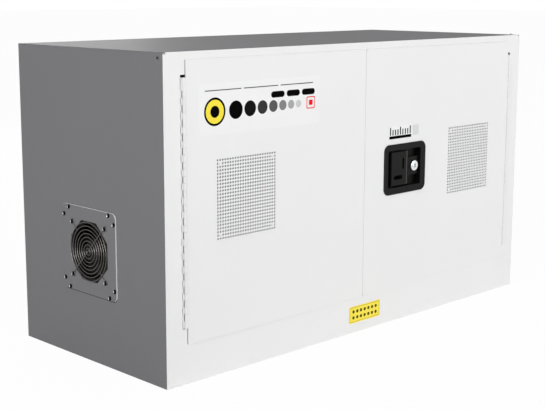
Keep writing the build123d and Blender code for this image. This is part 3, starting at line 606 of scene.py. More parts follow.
# Moulded sockets: charcoal with a plain gloss.
SOCKET_FACE = Moulding("socket_face", "black_moulding", "1E1E1F", 0.3, 0.3, grain=0.3)
# Glass-filled plastic of the fan: brown black and satin.
FAN_PLASTIC = Moulding("fan_plastic", "fan_black", "15110F", 0.45, 0.12, rubbed="1B1614")
# The blackest and dullest surface: rubber of the cable grommet, and painted shade in the plugs at
# the hinge slots' ends and in the sheet that is the fan plate's painted shadow.
RUBBER_AND_SHADE = Moulding("rubber_and_painted_shade", "rubber", "040404", 0.6, 0.05, grain=0.8, rubbed="080808")
# White rubber of the meeting edge: a matt line in the doors' own white.
WHITE_SEAL = PowderCoat("white_seal_rubber", "", "EDEDED", 0.6, 0.1)
# Filter foam behind the vents: blue black pits that show through the holes.
FOAM = FilterFoam("filter_foam", "vent_block", "1C222C", 0.9)


# ---------------------------------------------------------------------------------------
# Setting pieces on the cabinet
# ---------------------------------------------------------------------------------------
def dress(piece: Object, body: str, finish: Finish, *nodes: str) -> Object:
    """Finish a piece and set it on the cabinet.

    Args:
        piece: The new piece, in place.
        body: The body that it moves with.
        finish: Its finish.
        nodes: The CAD nodes that it stands for.

    Returns:
        The same piece.
    """
    piece.data.materials.clear()
    piece.data.materials.append(finish.material())
    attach(piece, body)
    if nodes:
        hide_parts(*nodes)
    LOG.info("%s on %s: %s", piece.name, body, finish.name)
    return piece


def trim(piece: Object, finish: Finish, test: Callable[[bpy.types.MeshPolygon], bool]) -> None:
    """Give the faces of a dressed piece that pass a test a second finish."""
    piece.data.materials.append(finish.material())
    last = len(piece.data.materials) - 1
    for face in piece.data.polygons:
        if test(face):
            face.material_index = last


def coat(finish: Finish, *nodes: str) -> None:
    """Give CAD nodes, which stay as they are, a finish."""
    for node in nodes:
        for slot in bpy.data.objects[node].material_slots:
            slot.material = finish.material()
        LOG.info("%s: %s", node, finish.name)


def ease_nodes(body: str, finish: Finish, width: float, *nodes: str) -> None:
    """Replace CAD nodes by copies with eased edges, as folded or cast edges have."""
    for node in nodes:
        dress(eased_copy(node, f"{node}_eased", width), body, finish, node)


@dataclass
class Case:
    """The double-wall case: skins, face frame, liner and what stands on them."""

    fold: float = 0.55  # rounding of the sheets' edges
    seam: float = 0.12  # rounding of the face frame's edges, which are welded and ground
    insert_flange: float = 3.1
    insert_bore: float = 2.4
    insert_chamfer: float = 0.25  # depth of the flange's recess
    insert_sides: int = 32
    inlet_edge: float = 0.4
    ground_head: float = 4.0
    head_sides: int = 24
    head_edge: float = 0.18  # the ground screw's rounding, as a share of its head's radius
    socket_margin: float = 0.25  # plain ring round its socket
    socket: float = 0.45  # half the socket's width across its flats
    socket_depth: float = 0.6  # as a share of the head's height

    def build(self) -> None:
        """Dress the sheets and build the small turned parts."""
        skins = [f"outer_{name}_panel" for name in ("left", "right", "top", "bottom", "back")]
        liner = [f"inner_{name}_panel" for name in ("left", "right", "top", "bottom", "back")]
        ease_nodes("case", GREY_COAT, self.fold, *skins)
        frame = "left_stile", "right_stile", "top_rail", "bottom_rail"
        ease_nodes("case", WHITE_COAT, self.seam, *frame)
        coat(LINER_COAT, *liner)
        coat(ZINC, "wall_spacers", "latch_keepers")
        self.build_insert()
        self.build_ground_screw()
        ease_nodes("case", RUBBER_AND_SHADE, self.inlet_edge, "cable_inlet")

    def build_insert(self) -> None:
        """Build the threaded insert near the top of the left side."""
        centre = middle_of("side_insert")
        wall, lip = box_of("outer_left_panel")[0].x, box_of("side_insert")[0].x
        foot = (wall, centre.y, centre.z)
        reach, sides = lip - wall, self.insert_sides
        insert = drum("side_insert_flange", foot, Axis.X, self.insert_flange, reach, sides)
        with editing(insert):
            pick(insert, Element.FACE, lambda face: face.normal.x < -SQUARE)
            inset(self.insert_flange - self.insert_bore)
            push(self.insert_chamfer, 0, 0)
        dress(smooth(insert), "case", DULL_ZINC, "side_insert")

        def is_bore(face: bpy.types.MeshPolygon) -> bool:
            """Whether a face is the recess's round floor."""
            spot = face.center / MM - centre
            near = Vector((spot.y, spot.z)).length < self.insert_bore / 3
            return near and face.normal.x < -SQUARE

        # The bore's floor is painted black as the shade inside the hole.
        trim(insert, BLACK_OXIDE_AND_SHADE, is_bore)

    def build_ground_screw(self) -> None:
        """Turn the grounding screw's head on the top, with a six-sided socket in its face."""
        centre = middle_of("ground_screw")
        top, end = box_of("outer_top_panel")[1].z, box_of("ground_screw")[1].z
        foot, radius = (centre.x, centre.y, top), self.ground_head
        head = drum("ground_screw_head", foot, Axis.Z, radius, end - top, self.head_sides)
        with editing(head):
            pick(head, Element.FACE, lambda face: is_end(face, 2, end * MM))
            bevel(self.head_edge * radius, 2)
            pick(head, Element.FACE, lambda face: is_end(face, 2, end * MM))
            inset(self.socket_margin * radius)
            mesh = bmesh.from_edit_mesh(head.data)
            for vert in {vert for face in mesh.faces if face.select for vert in face.verts}:
                spot = vert.co / MM - centre
                angle = atan2(spot.y, spot.x)
                # The circle's points move in to a hexagon's sides.
                reach = self.socket * radius / cos(angle % (pi / 3) - pi / 6)
                vert.co.x = (centre.x + reach * cos(angle)) * MM
                vert.co.y = (centre.y + reach * sin(angle)) * MM
            bmesh.update_edit_mesh(head.data)
            push(0, 0, -self.socket_depth * (end - top))
        dress(smooth(head), "case", ZINC, "ground_screw")


@dataclass
class Door:
    """One door: a folded skin with a perforated field, its inner pan and the vent behind it."""

    side: Side
    sheet: float = 1.5
    bend: float = 0.6  # rounding of the skin's folded edges
    corner: float = 6.0  # corners at the meeting line
    holes: int = 24  # along each side of the perforated field
    pitch: float = 6.4
    hole: float = 4.1
    hole_sides: int = 12
    margin: float = 2.0  # plain strip between the field's cells and the rest of the skin
    slack: float = 1.0  # how far the strip's edges are looked for from their place
    rim_cover: float = 8.0  # how far the latch's rim covers the skin
    screw_head: float = 3.0
    screw_height: float = 1.2
    screw_sides: int = 20
    screw_dome: float = 0.9  # share of the head's height that is rounded
    screw_row: int = 1  # the holes that the screws take, counted from the field's corner
    seal: Pair = (0.2, 0.8)  # the dark edge strips' thickness, and their width before the frame: painted shade of the gap there
    seal_end: float = 0.6  # from the strips' far ends to the door's
    seal_gap: Pair = (1.5, 5.0)  # under the hinge and over it
    seal_play: float = 0.05  # between the strips and the frame
    lip: float = 0.9  # how far the meeting lip stands out from the left door's edge
    lip_recess: float = 0.9  # how far it stands behind the door's face
    lip_depth: float = 1.2
    lip_edge: float = 0.15
    pan_edge: float = 0.5

    @property
    def body(self) -> str:
        """The body that the door is."""
        return f"{self.side.value}_door"

    def build(self) -> None:
        """Build the skin and dress what is behind it."""
        name = self.side.value
        low, high = box_of(f"{name}_door_skin")
        self.vent = middle_of(f"{name}_vent_block")
        skin = self.build_skin(low, high)
        dress(skin, self.body, WHITE_COAT, f"{name}_door_skin", f"{name}_vent_screen")
        self.build_screws(low.y)
        self.build_shade_strips_and_lip(low, high)
        ease_nodes(self.body, WHITE_COAT, self.pan_edge, f"{name}_door_pan")
        coat(FOAM, f"{name}_vent_block")

    def build_skin(self, low: Vector, high: Vector) -> Object:
        """Fold the skin and set the perforated field in it.

        Args:
            low: The skin's lowest corner, in millimetres.
            high: Its highest corner.

        Returns:
            The skin, as a mesh with its thickness.
        """
        skin = block(f"{self.side.value}_door_sheet", low, high)
        meeting = (high.x if self.side is Side.LEFT else low.x) * MM
        front = low.y * MM
        with editing(skin):
            pick(skin, Element.EDGE, lambda edge: runs_along(edge, 1) and lies_at(edge, 0, meeting))
            bevel(self.corner, 6)
            pick(skin, Element.FACE, lambda face: face.normal.y > SQUARE)
            bpy.ops.mesh.delete(type="ONLY_FACE")
            pick(skin, Element.EDGE, lambda edge: lies_at(edge, 1, front))
            bevel(self.bend, 3)
        half = self.holes * self.pitch / 2 + self.margin
        x, z = ((place - half, place + half) for place in (self.vent.x, self.vent.z))
        self.cut_window(skin, x, z, front)
        if self.side is Side.RIGHT:
            rim_low, rim_high = box_of("handle_dish")
            x, z = ((rim_low[k] + self.rim_cover, rim_high[k] - self.rim_cover) for k in (0, 2))
            self.cut_window(skin, x, z, front)
        skin = join(skin.name, (skin, self.build_field(low.y)))

        def bounds_gap(edge: Edge) -> bool:
            """Whether an edge bounds the field, or the window that is cut for it."""
            spot = middle(edge) / MM - self.vent
            reach = max(abs(spot.x), abs(spot.z))
            near = half - self.margin - self.slack < reach < half + self.slack
            return near and edge.is_boundary and lies_at(edge, 1, front)

        with editing(skin):
            pick(skin, Element.EDGE, bounds_gap)
            bpy.ops.mesh.bridge_edge_loops()
        work(skin, "SOLIDIFY", thickness=self.sheet * MM, offset=-1.0)
        return smooth(skin)

    @staticmethod
    def cut_window(skin: Object, x: Sequence[float], z: Sequence[float], front: float) -> None:
        """Cut a rectangular window in the skin's front.

        Args:
            skin: The skin, before it has its thickness.
            x: The window's two sides, in millimetres.
            z: Its bottom and top, in millimetres.
            front: The skin's front, in metres.
        """
        with editing(skin):
            for axis, places in ((0, x), (2, z)):
                for place in places:
                    bpy.ops.mesh.select_all(action="SELECT")
                    point, way = Vector((0, front, 0)), Vector((0, 0, 0))
                    point[axis], way[axis] = place * MM, 1
                    bpy.ops.mesh.bisect(plane_co=point, plane_no=way)
            low, high = metres((x[0], 0, z[0])), metres((x[1], 0, z[1]))

            def is_inside(face: Face) -> bool:
                """Whether a face of the front lies in the window."""
                spot = face.calc_center_median()
                within = low.x < spot.x < high.x and low.z < spot.z < high.z
                return within and abs(spot.y - front) < WELD

            pick(skin, Element.FACE, is_inside)
            bpy.ops.mesh.delete(type="FACE")

    def build_field(self, front: float) -> Object:
        """Punch one hole's cell and repeat it over the field.

        Args:
            front: The skin's front, in millimetres.

        Returns:
            The field, as a flat mesh that faces the front.
        """
        first = (self.holes - 1) * self.pitch / 2
        spot = metres((self.vent.x - first, front, self.vent.z - first))
        upright = (pi / 2, 0, 0)
        bpy.ops.object.select_all(action="DESELECT")
        bpy.ops.mesh.primitive_plane_add(size=self.pitch * MM, location=spot, rotation=upright)
        cell = settle("cell")
        with editing(cell):
            bpy.ops.mesh.select_all(action="SELECT")
            bpy.ops.mesh.delete(type="ONLY_FACE")
            bpy.ops.mesh.select_all(action="SELECT")
            bpy.ops.mesh.subdivide(number_cuts=self.hole_sides // 4 - 1)
        bpy.ops.mesh.primitive_circle_add(
            vertices=self.hole_sides, radius=self.hole / 2 * MM, location=spot, rotation=upright
        )
        cell = join("cell", (cell, settle("punched")))
        with editing(cell):
            bpy.ops.mesh.select_all(action="SELECT")
            bpy.ops.mesh.bridge_edge_loops()
            bpy.ops.mesh.select_all(action="SELECT")
            bpy.ops.mesh.normals_make_consistent(inside=False)
        if cell.data.polygons[0].normal.y > 0:
            cell.data.flip_normals()
        for step in ((self.pitch, 0, 0), (0, 0, self.pitch)):
            work(
                cell,
                "ARRAY",
                count=self.holes,
                use_relative_offset=False,
                use_constant_offset=True,
                constant_offset_displace=metres(step),
                use_merge_vertices=True,
                merge_threshold=WELD,
            )
        return cell

    def build_screws(self, front: float) -> None:
        """Build the four screws that hold the vent behind the field."""
        reach = ((self.holes - 1) / 2 - self.screw_row) * self.pitch
        heads = []
        for x, z in corners(reach, reach):
            seat = (self.vent.x + x, front, self.vent.z + z)
            height, sides = -self.screw_height, self.screw_sides
            head = drum("vent_screw", seat, Axis.Y, self.screw_head, height, sides)
            with editing(head):
                pick(head, Element.FACE, lambda face: face.normal.y < -SQUARE)
                bevel(self.screw_dome * self.screw_height, 4)
            heads.append(head)
        name = f"{self.side.value}_vent_screws"
        dress(smooth(join(f"{name}_heads", heads)), self.body, WHITE_COAT, name)

    def build_shade_strips_and_lip(self, low: Vector, high: Vector) -> None:
        """Stick dark strips on the door's hinged edge as painted shade of the gap there, and the
        lip on the left door's other edge.

        Args:
            low: The skin's lowest corner, in millimetres.
            high: Its highest corner.
        """
        name = self.side.value
        hinge_low, hinge_high = box_of(f"{name}_hinge_frame_leaf")
        edge = low.x if self.side is Side.LEFT else high.x
        thick, wide = self.seal
        under, over = self.seal_gap
        frame = box_of("top_rail")[0].y
        spans = (
            (low.z + self.seal_end, hinge_low.z - under),
            (hinge_high.z + over, high.z - self.seal_end),
        )
        left, right, front, back = edge - thick, edge + thick, frame - wide, frame - self.seal_play
        strips = [block("seal", (left, front, foot), (right, back, head)) for foot, head in spans]
        # The strips are matt grey: painted shade of the gap along the hinged edge.
        dress(join(f"{name}_door_seals", strips), self.body, GAP_SHADE_PAINT)
        if self.side is Side.LEFT:
            near = (high.x, low.y + self.lip_recess, low.z + self.corner)
            far = (high.x + self.lip, near[1] + self.lip_depth, high.z - self.corner)
            lip = ease(block("left_door_lip", near, far), self.lip_edge, 1)
            dress(lip, self.body, WHITE_SEAL)


@dataclass
class PianoHinge:
    """A continuous hinge: two leaves whose knuckles take turns along one pin."""

    side: Side
    radius: float = 2.8  # of the knuckles
    bed: float = 3.55  # from the pin's axis back to the leaves
    length: float = 12.7  # of each knuckle
    gap: float = 0.5  # between knuckles
    leaf: float = 1.3
    depth: float = 24.0  # of the leaves along the door's edge
    first: float = 15.0  # length of the lowest knuckle
    clearance: float = 0.15  # between the knuckles and the other leaf's strips
    fold: Pair = (2.4, 1.45)  # width and rise of the left frame leaf's fold, beside the slot
    open_foot: float = 2.2  # of the slot under its lowest strip
    slot_rise: float = -1.0  # how far the left frame leaf's strips stand before the pin's axis
    frame_rise: float = 0.4  # the same of the right frame leaf's strip
    door_rise: float = -0.08  # and of the door leaves' strips
    tuck: float = 0.7  # how far a door leaf's strip reaches under the skin's rounded edge
    sides: int = 16
    edge: float = 0.2
    shade_plug_depth: float = 6.0  # of the black plugs at both ends of the slot, painted shade of its open ends
    shade_plug_recess: float = 0.8  # how far they stand behind the frame's face
    shade_plug_tuck: float = 0.3  # how far they reach under the door's edge
    shade_plug_play: float = 0.1  # at their ends

    @property
    def body(self) -> str:
        """The body that the hinge's moving leaf rides on."""
        return f"{self.side.value}_door"

    def build(self) -> None:
        """Build both leaves with their knuckles, and the black plugs, painted shade, at the ends of
        their slot.
        """
        name = self.side.value
        self.axis = middle_of(f"{name}_hinge_pin")
        coat(ZINC, f"{name}_hinge_pin")
        frame_low, frame_high = box_of(f"{name}_hinge_frame_leaf")
        door_low, door_high = box_of(f"{name}_hinge_door_leaf")
        self.foot, self.head = foot, head = frame_low.z, frame_high.z
        slotted = self.side is Side.LEFT
        frame_x, door_x = (frame_low.x, door_high.x) if slotted else (frame_high.x, door_low.x)
        step = 2 * self.length
        start = foot + self.first
        count = int((head - start) // step)
        own = [(start + k * step, start + k * step + self.length) for k in range(count)]
        between = [(low + self.length, low + step) for low, _ in own[:-1]]
        others = [(foot, start), *between, (own[-1][1], head)]
        closed = [(foot + self.open_foot, start), *others[1:]]
        strips, rise = (closed, self.slot_rise) if slotted else ([(foot, head)], self.frame_rise)
        frame = self.build_leaf(f"{name}_frame_leaf", frame_x, others, strips, rise, slotted)
        dress(frame, "case", WHITE_COAT, f"{name}_hinge_frame_leaf")
        # Painted shade: faces deep in the slot, behind the knuckles, are matt grey so the gaps read
        # as dark dashes.
        behind = (self.axis.y + self.bed) * MM - WELD
        trim(frame, GAP_SHADE_PAINT, lambda face: face.normal.y < -SQUARE and face.center.y > behind)
        door = self.build_leaf(f"{name}_door_leaf", door_x, own, [(foot, head)], self.door_rise)
        dress(door, self.body, WHITE_COAT, f"{name}_hinge_door_leaf")
        self.build_shade_plugs(frame_x, door_x)

    def build_leaf(
        self,
        name: str,
        plate_x: float,
        knuckles: Sequence[Pair],
        strips: Sequence[Pair],
        rise: float,
        folded: bool = False,
    ) -> Object:
        """Build one leaf.

        Args:
            name: The leaf's name.
            plate_x: The face that the leaf is fixed to.
            knuckles: The bottom and top of each of its knuckles.
            strips: The same of the strips that close the slot between the face and the knuckles.
            rise: How far the strips' front stands before the pin's axis.
            folded: Whether it has the fold beside the slot.

        Returns:
            The leaf as one piece.
        """
        turn = 1 if plate_x < self.axis.x else -1
        foot, head, back = self.foot, self.head, self.axis.y + self.bed
        tuck = 0.0 if turn == self.side.inward else self.tuck
        edge = sorted((plate_x, plate_x + turn * self.leaf))
        inside = self.axis.x - turn * (self.radius - self.leaf)
        reach = sorted((plate_x, inside))
        near = sorted((plate_x - turn * tuck, self.axis.x - turn * (self.radius + self.clearance)))
        root = sorted((self.axis.x - turn * self.radius, inside))
        parts = [
            block("plate", (edge[0], back, foot), (edge[1], back + self.depth, head)),
            block("wing", (reach[0], back, foot), (reach[1], back + self.leaf, head)),
        ]
        if folded:
            wide, high = self.fold
            front = sorted((plate_x, plate_x + turn * wide))
            parts.append(block("fold", (front[0], back - high, foot), (front[1], back, head)))
        for low, high in strips:
            parts.append(block("strip", (near[0], self.axis.y - rise, low), (near[1], back, high)))
        for low, high in knuckles:
            low, high = low + self.gap / 2, high - self.gap / 2
            end = (self.axis.x, self.axis.y, low)
            parts.append(drum("knuckle", end, Axis.Z, self.radius, high - low, self.sides))
            parts.append(block("root", (root[0], self.axis.y, low), (root[1], back, high)))
        return ease(join(name, parts), self.edge, 1)

    def build_shade_plugs(self, frame_x: float, door_x: float) -> None:
        """Build the black plugs over and under the hinge: painted shade that fills the slot's open
        ends.

        Args:
            frame_x: The slot's side at the frame.
            door_x: Its side at the door.
        """
        front = box_of("top_rail")[0].y + self.shade_plug_recess
        over, under = box_of("top_rail")[0].z, box_of("bottom_rail")[1].z
        x = sorted((frame_x, door_x - self.side.inward * self.shade_plug_tuck))
        play = self.shade_plug_play
        plugs = [
            block("plug", (x[0], front, low + play), (x[1], front + self.shade_plug_depth, high - play))
            for low, high in ((self.head, over), (under, self.foot))
        ]
        dress(join(f"{self.side.value}_hinge_plugs", plugs), "case", RUBBER_AND_SHADE)


@dataclass
class FlushLatch:
    """The flush paddle latch with its lock, and the rods that it throws."""

    ease_dish: float = 0.9
    floor_depth: float = 6.0  # the pocket's floor is more than this behind the lock's face
    ease_paddle: float = 0.9
    front: float = -0.3  # a face looks to the front if its normal's Y is less
    highlight_rim: Pair = (-0.95, -0.3)  # X of the normals of the dish's faces that get the painted highlight
    highlight_paddle: Pair = (0.25, 0.6)  # and of the paddle's
    barrel: float = 11.5
    barrel_edge: float = 1.7
    plug: float = 6.2
    keyway: Pair = (2.8, 8.8)
    keyway_depth: float = 5.0
    slack: float = 0.1  # how far the keyway's faces are looked for round its cutter
    sides: int = 56
    lengths: Pair = (7.0, 8.0)  # of the barrel and of its plug
    well: Pair = (0.15, 0.7)  # the play round the plug, and how deep the barrel ends there
    plug_edge: float = 0.4
    rim: float = 3.2  # what is less far behind the rim's face belongs to the rim
    border: float = 13.0  # what is less far inside its outline moves with it
    set_over: Pair = (2.4, -0.4)  # the rim's outline to the right of the pocket's, and its top
    skirt: float = -1.5  # the rim's foot below that

    def build(self) -> None:
        """Dress the dish, the paddle and the train behind them, and turn the lock."""
        dish = eased_copy("handle_dish", "latch_dish", self.ease_dish, 3)
        dress(dish, "right_door", BLACK_CAST, "handle_dish")
        self.set_rim_over(dish)
        self.paint_highlight(dish, self.highlight_rim)
        floor = (box_of("lock_barrel")[0].y + self.floor_depth) * MM
        trim(dish, POCKET_CAST, lambda face: face.normal.y < -SQUARE and face.center.y > floor)
        paddle = eased_copy("handle_paddle", "latch_paddle", self.ease_paddle, 3)
        dress(paddle, "paddle", BLACK_CAST, "handle_paddle")
        self.paint_highlight(paddle, self.highlight_paddle)
        self.build_lock()
        coat(ZINC, "lock_cam", "latch_cam", "upper_latch_rod", "lower_latch_rod")
        coat(BLACK_CAST, "paddle_pin", "rod_guides")

    def paint_highlight(self, piece: Object, span: Pair) -> None:
        """Paint a highlight on the faces of a piece that look to the front and lean by a span of
        their X.
        """
        least, most = span
        trim(
            piece,
            HIGHLIGHT_CAST,
            lambda face: face.normal.y < self.front and least < face.normal.x < most,
        )

    def set_rim_over(self, dish: Object) -> None:
        """Set the rim's outline over to one side of the pocket.

        Args:
            dish: The dish, whose rim stands in front of the door.
        """
        low, high = box_of("handle_dish")
        left, right = low.x + self.border, high.x - self.border
        foot, head = low.z + self.border, high.z - self.border
        across, up = self.set_over

        def is_outline(vert: bmesh.types.BMVert) -> bool:
            """Whether a vertex is on the rim's outline."""
            spot = vert.co / MM
            inside = left < spot.x < right and foot < spot.z < head
            return spot.y < low.y + self.rim and not inside

        with editing(dish):
            pick(dish, Element.VERT, is_outline)
            bpy.ops.transform.translate(value=metres((across, 0, up)))
            pick(dish, Element.VERT, lambda vert: is_outline(vert) and vert.co.z < foot * MM)
            bpy.ops.transform.translate(value=metres((0, 0, self.skirt)))

    def build_lock(self) -> None:
        """Turn the lock's barrel and its plug with the keyway."""
        x, _, z = middle_of("lock_barrel")
        face, nose = box_of("lock_barrel")[0].y, box_of("key_plug")[0].y
        play, drop = self.well
        barrel_seat, plug_seat = (x, face, z), (x, nose, z)
        barrel = drum("lock_sleeve", barrel_seat, Axis.Y, self.barrel, self.lengths[0], self.sides)
        with editing(barrel):
            pick(barrel, Element.EDGE, lambda edge: lies_at(edge, 1, face * MM))
            bevel(self.barrel_edge, 4)
            pick(barrel, Element.FACE, lambda end: is_end(end, 1, face * MM))
            inset(self.barrel - self.barrel_edge - self.plug - play)
            push(0, drop, 0)
        dress(smooth(barrel), "right_door", CHROME, "lock_barrel")
        plug = drum("lock_plug", plug_seat, Axis.Y, self.plug, self.lengths[1], self.sides)
        with editing(plug):
            pick(plug, Element.EDGE, lambda edge: lies_at(edge, 1, nose * MM))
            bevel(self.plug_edge, 2)
        wide, tall = self.keyway
        end = nose + self.keyway_depth
        near, far = (x - wide / 2, nose - 1, z - tall / 2), (x + wide / 2, end, z + tall / 2)
        cutter = block("keyway", near, far)
        work(plug, "BOOLEAN", operation="DIFFERENCE", object=cutter, solver="EXACT")
        bpy.data.objects.remove(cutter)
        dress(smooth(plug), "key", CHROME, "key_plug")

        def in_keyway(face: bpy.types.MeshPolygon) -> bool:
            """Whether a face is one of the keyway's sides or its floor."""
            spot, slack = face.center / MM, self.slack
            within = abs(spot.x - x) < wide / 2 + slack and abs(spot.z - z) < tall / 2 + slack
            return within and nose + slack < spot.y < end + slack

        # The keyway's sides and floor are painted black as the shade inside the slot.
        trim(plug, BLACK_OXIDE_AND_SHADE, in_keyway)


@dataclass
class ExhaustFan:
    """The fan in the left wall: mounting plate, wire guard, screws, housing and rotor."""

    wire: float = 1.6
    rings: int = 8
    outer_ring: float = 57.6
    ring_step: float = 7.3
    layer: float = 0.8  # how far a layer of wires lies over the last one, in wires
    ramp: float = 5.0  # over which the long spoke climbs onto the rings
    spoke_laps: int = 1  # rings that the two short spokes lie under, after the outer one
    screw_pitch: float = 105.0  # between the fan's own screws
    eye: float = 4.3  # radius of the guard's eyes
    ring_sides: int = 64
    eye_sides: int = 24
    plate_edge: float = 0.9
    rim_share: float = 0.85  # of half the plate's width, where its outer edges begin
    rim_turn: float = 0.95  # a face is on an edge if its normal's X is less
    lit: float = 0.2  # how far a face of the rim looks to the front or up to get the painted highlight
    frame_edge: float = 0.5
    shadow_sheet_edge: float = 0.1
    shadow_sheet: Triple = (0.7, 0.7, 1.4)  # the black sheet's thickness, and what shows of it behind the plate and below: the plate's painted shadow
    plate_far: float = 80.0
    plate_near: float = 64.0
    head: float = 4.0
    head_height: float = 1.8
    cup_mouth: float = 3.75  # radius of the cone in the head's face
    cup_floor: float = 3.1
    head_sides: int = 28
    painted_glint: Triple = (-0.9, -0.3, -0.42)  # least and most X, and most Y, of the normal of a cone face that gets the painted glint
    hub: float = 23.0
    hub_length: float = 26.0
    hub_edge: float = 4.0
    hub_sides: int = 48
    hub_recess: float = 7.0  # from the housing's back to the hub's
    tip: float = 51.5
    blades: int = 7
    chord: float = 27.0
    flare: Pair = (0.8, 0.35)  # share of the chord at the root, and what the tip adds
    camber: float = 2.2
    blade: float = 1.5  # thickness of a blade
    root_pitch: float = 38.0  # blade angle to the plane of rotation at the hub
    tip_pitch: float = 24.0
    sweep: float = 14.0  # how far the blade's tip is turned ahead of its root, in degrees

    def build(self) -> None:
        """Build the visible pieces and dress the rest."""
        low, high = box_of("fan_plate")
        self.face, self.z = low.x, middle_of("fan_plate").z
        plate = eased_copy("fan_plate", "fan_plate_eased", self.plate_edge)
        dress(plate, "case", GREY_COAT, "fan_plate")
        rim = (high.y - low.y) / 2 * self.rim_share * MM

        def on_rim(face: bpy.types.MeshPolygon) -> bool:
            """Whether a face of the plate is on its outer rim."""
            reach = max(abs(face.center.y), abs(face.center.z - self.z * MM))
            return abs(face.normal.x) < self.rim_turn and reach > rim

        def is_lit(face: bpy.types.MeshPolygon) -> bool:
            """Whether a face of the rim looks to the front or up."""
            return on_rim(face) and (face.normal.y < -self.lit or face.normal.z > self.lit)

        # The rim is painted dark all round as shade, then near white where it looks to the front or
        # up, as a highlight.
        trim(plate, EDGE_SHADE_PAINT, on_rim)
        trim(plate, EDGE_HIGHLIGHT_PAINT, is_lit)
        self.build_shadow_sheet(high.x)
        ease_nodes("case", FAN_PLASTIC, self.frame_edge, "fan_frame")
        coat(FAN_PLASTIC, "fan_motor")
        self.build_guard()
        self.build_screws()
        self.build_rotor()

    def build_shadow_sheet(self, wall: float) -> None:
        """Cut a thin black sheet that shows below and behind the plate as its painted shadow.

        Args:
            wall: The wall's outside, in millimetres.
        """
        thick, back, drop = self.shadow_sheet
        shadow_sheet = eased_copy("fan_plate", "plate_painted_shadow", self.shadow_sheet_edge, 1)
        with editing(shadow_sheet):
            bpy.ops.mesh.select_all(action="SELECT")
            share = thick / (wall - self.face), 1, 1
            bpy.ops.transform.resize(value=share, center_override=metres((wall, 0, self.z)))
            bpy.ops.transform.translate(value=metres((0, back, -drop)))
        dress(shadow_sheet, "case", RUBBER_AND_SHADE)

    def wire_run(self, ends: Sequence[Sequence[float]]) -> Object:
        """Lay a wire through points, given in millimetres, as a round tube."""
        curve = bpy.data.curves.new("wire", "CURVE")
        curve.dimensions = "3D"
        curve.bevel_depth = self.wire * MM / 2
        curve.bevel_resolution = 2
        curve.use_fill_caps = True
        spline = curve.splines.new("POLY")
        spline.points.add(len(ends) - 1)
        for point, end in zip(spline.points, ends):
            point.co = (*metres(end), 1)
        drawn = bpy.data.objects.new("wire", curve)
        bpy.context.scene.collection.objects.link(drawn)
        single_out(drawn)
        bpy.ops.object.convert(target="MESH")
        return bpy.context.object

    def build_guard(self) -> None:
        """Bend the guard: rings, a spoke over them and two short ones under them, all with eyes."""
        layer = self.layer * self.wire
        rings_x, low_x = self.face - layer - self.wire / 2, self.face - self.wire / 2
        radii = [self.outer_ring - k * self.ring_step for k in range(self.rings)]
        centre = (rings_x, 0, self.z)
        parts = [
            ring("wire", centre, Axis.X, radius, self.wire, self.ring_sides) for radius in radii
        ]
        offset = self.screw_pitch / 2
        inner = offset - self.eye / 2**0.5
        bend, stop = inner - self.ramp, radii[self.spoke_laps] / 2**0.5
        over = low_x - 2 * layer
        ends = (low_x, -inner), (over, -bend), (over, bend), (low_x, inner)
        parts.append(self.wire_run([(x, side, self.z - side) for x, side in ends]))
        for side in (-1, 1):
            ends = [(low_x, side * reach, self.z + side * reach) for reach in (inner, stop)]
            parts.append(self.wire_run(ends))
        for y, rise in corners(offset, offset):
            eye = (low_x, y, self.z + rise)
            parts.append(ring("wire", eye, Axis.X, self.eye, self.wire, self.eye_sides))
        dress(smooth(join("wire_guard", parts)), "case", GUARD_WIRE, "finger_guard")

    def build_screws(self) -> None:
        """Build the heads of the plate's screws and of the fan's own."""
        far, near, half = self.plate_far, self.plate_near, self.screw_pitch / 2
        places = {
            "plate": (self.face, [*corners(far, near), *corners(near, far)]),
            "guard": (self.face - self.wire, corners(half, half)),
        }
        for name, (x, spots) in places.items():
            heads = [self.cup_screw((x, y, self.z + rise)) for y, rise in spots]
            piece = join(f"{name}_screw_heads", heads)
            dress(piece, "case", BLACK_OXIDE_AND_SHADE, f"{name}_screws")
            # Painted highlight: the cone faces that look to the front and lean one way are bright
            # zinc on the black head.
            trim(piece, ZINC, self.painted_glint_faces)

    def painted_glint_faces(self, face: bpy.types.MeshPolygon) -> bool:
        """Whether a face of a screw's cone gets the painted glint."""
        least, most, front = self.painted_glint
        return least < face.normal.x < most and face.normal.y < front

    def cup_screw(self, seat: Triple) -> Object:
        """Make a screw's head with a cone in its face, seated at a point on the wall's outside."""
        head = drum("head", seat, Axis.X, self.head, -self.head_height, self.head_sides)
        end = (seat[0] - self.head_height) * MM
        with editing(head):
            pick(head, Element.FACE, lambda face: is_end(face, 0, end))
            inset(self.head - self.cup_mouth)
            cone = self.cup_mouth - self.cup_floor
            inset(cone, -cone)
        return smooth(head)

    def build_rotor(self) -> None:
        """Mould the rotor: a hub with a rounded nose, and twisted, swept blades."""
        back = box_of("fan_frame")[1].x - self.hub_recess
        nose = back - self.hub_length
        foot, length = (back, 0, self.z), nose - back
        hub = drum("hub", foot, Axis.X, self.hub, length, self.hub_sides)
        with editing(hub):
            pick(hub, Element.EDGE, lambda edge: lies_at(edge, 0, nose * MM))
            bevel(self.hub_edge, 4)
        parts = [hub]
        blade = self.build_blade((nose + back) / 2)
        centre = metres((0, 0, self.z))
        for k in range(self.blades):
            turn = Matrix.Rotation(k * tau / self.blades, 4, "X")
            move = Matrix.Translation(centre) @ turn @ Matrix.Translation(-centre)
            parts.append(copy_at(blade, "blade", move))
        bpy.data.objects.remove(blade)
        dress(smooth(join("rotor", parts)), "fan_rotor", FAN_PLASTIC, "fan_rotor")

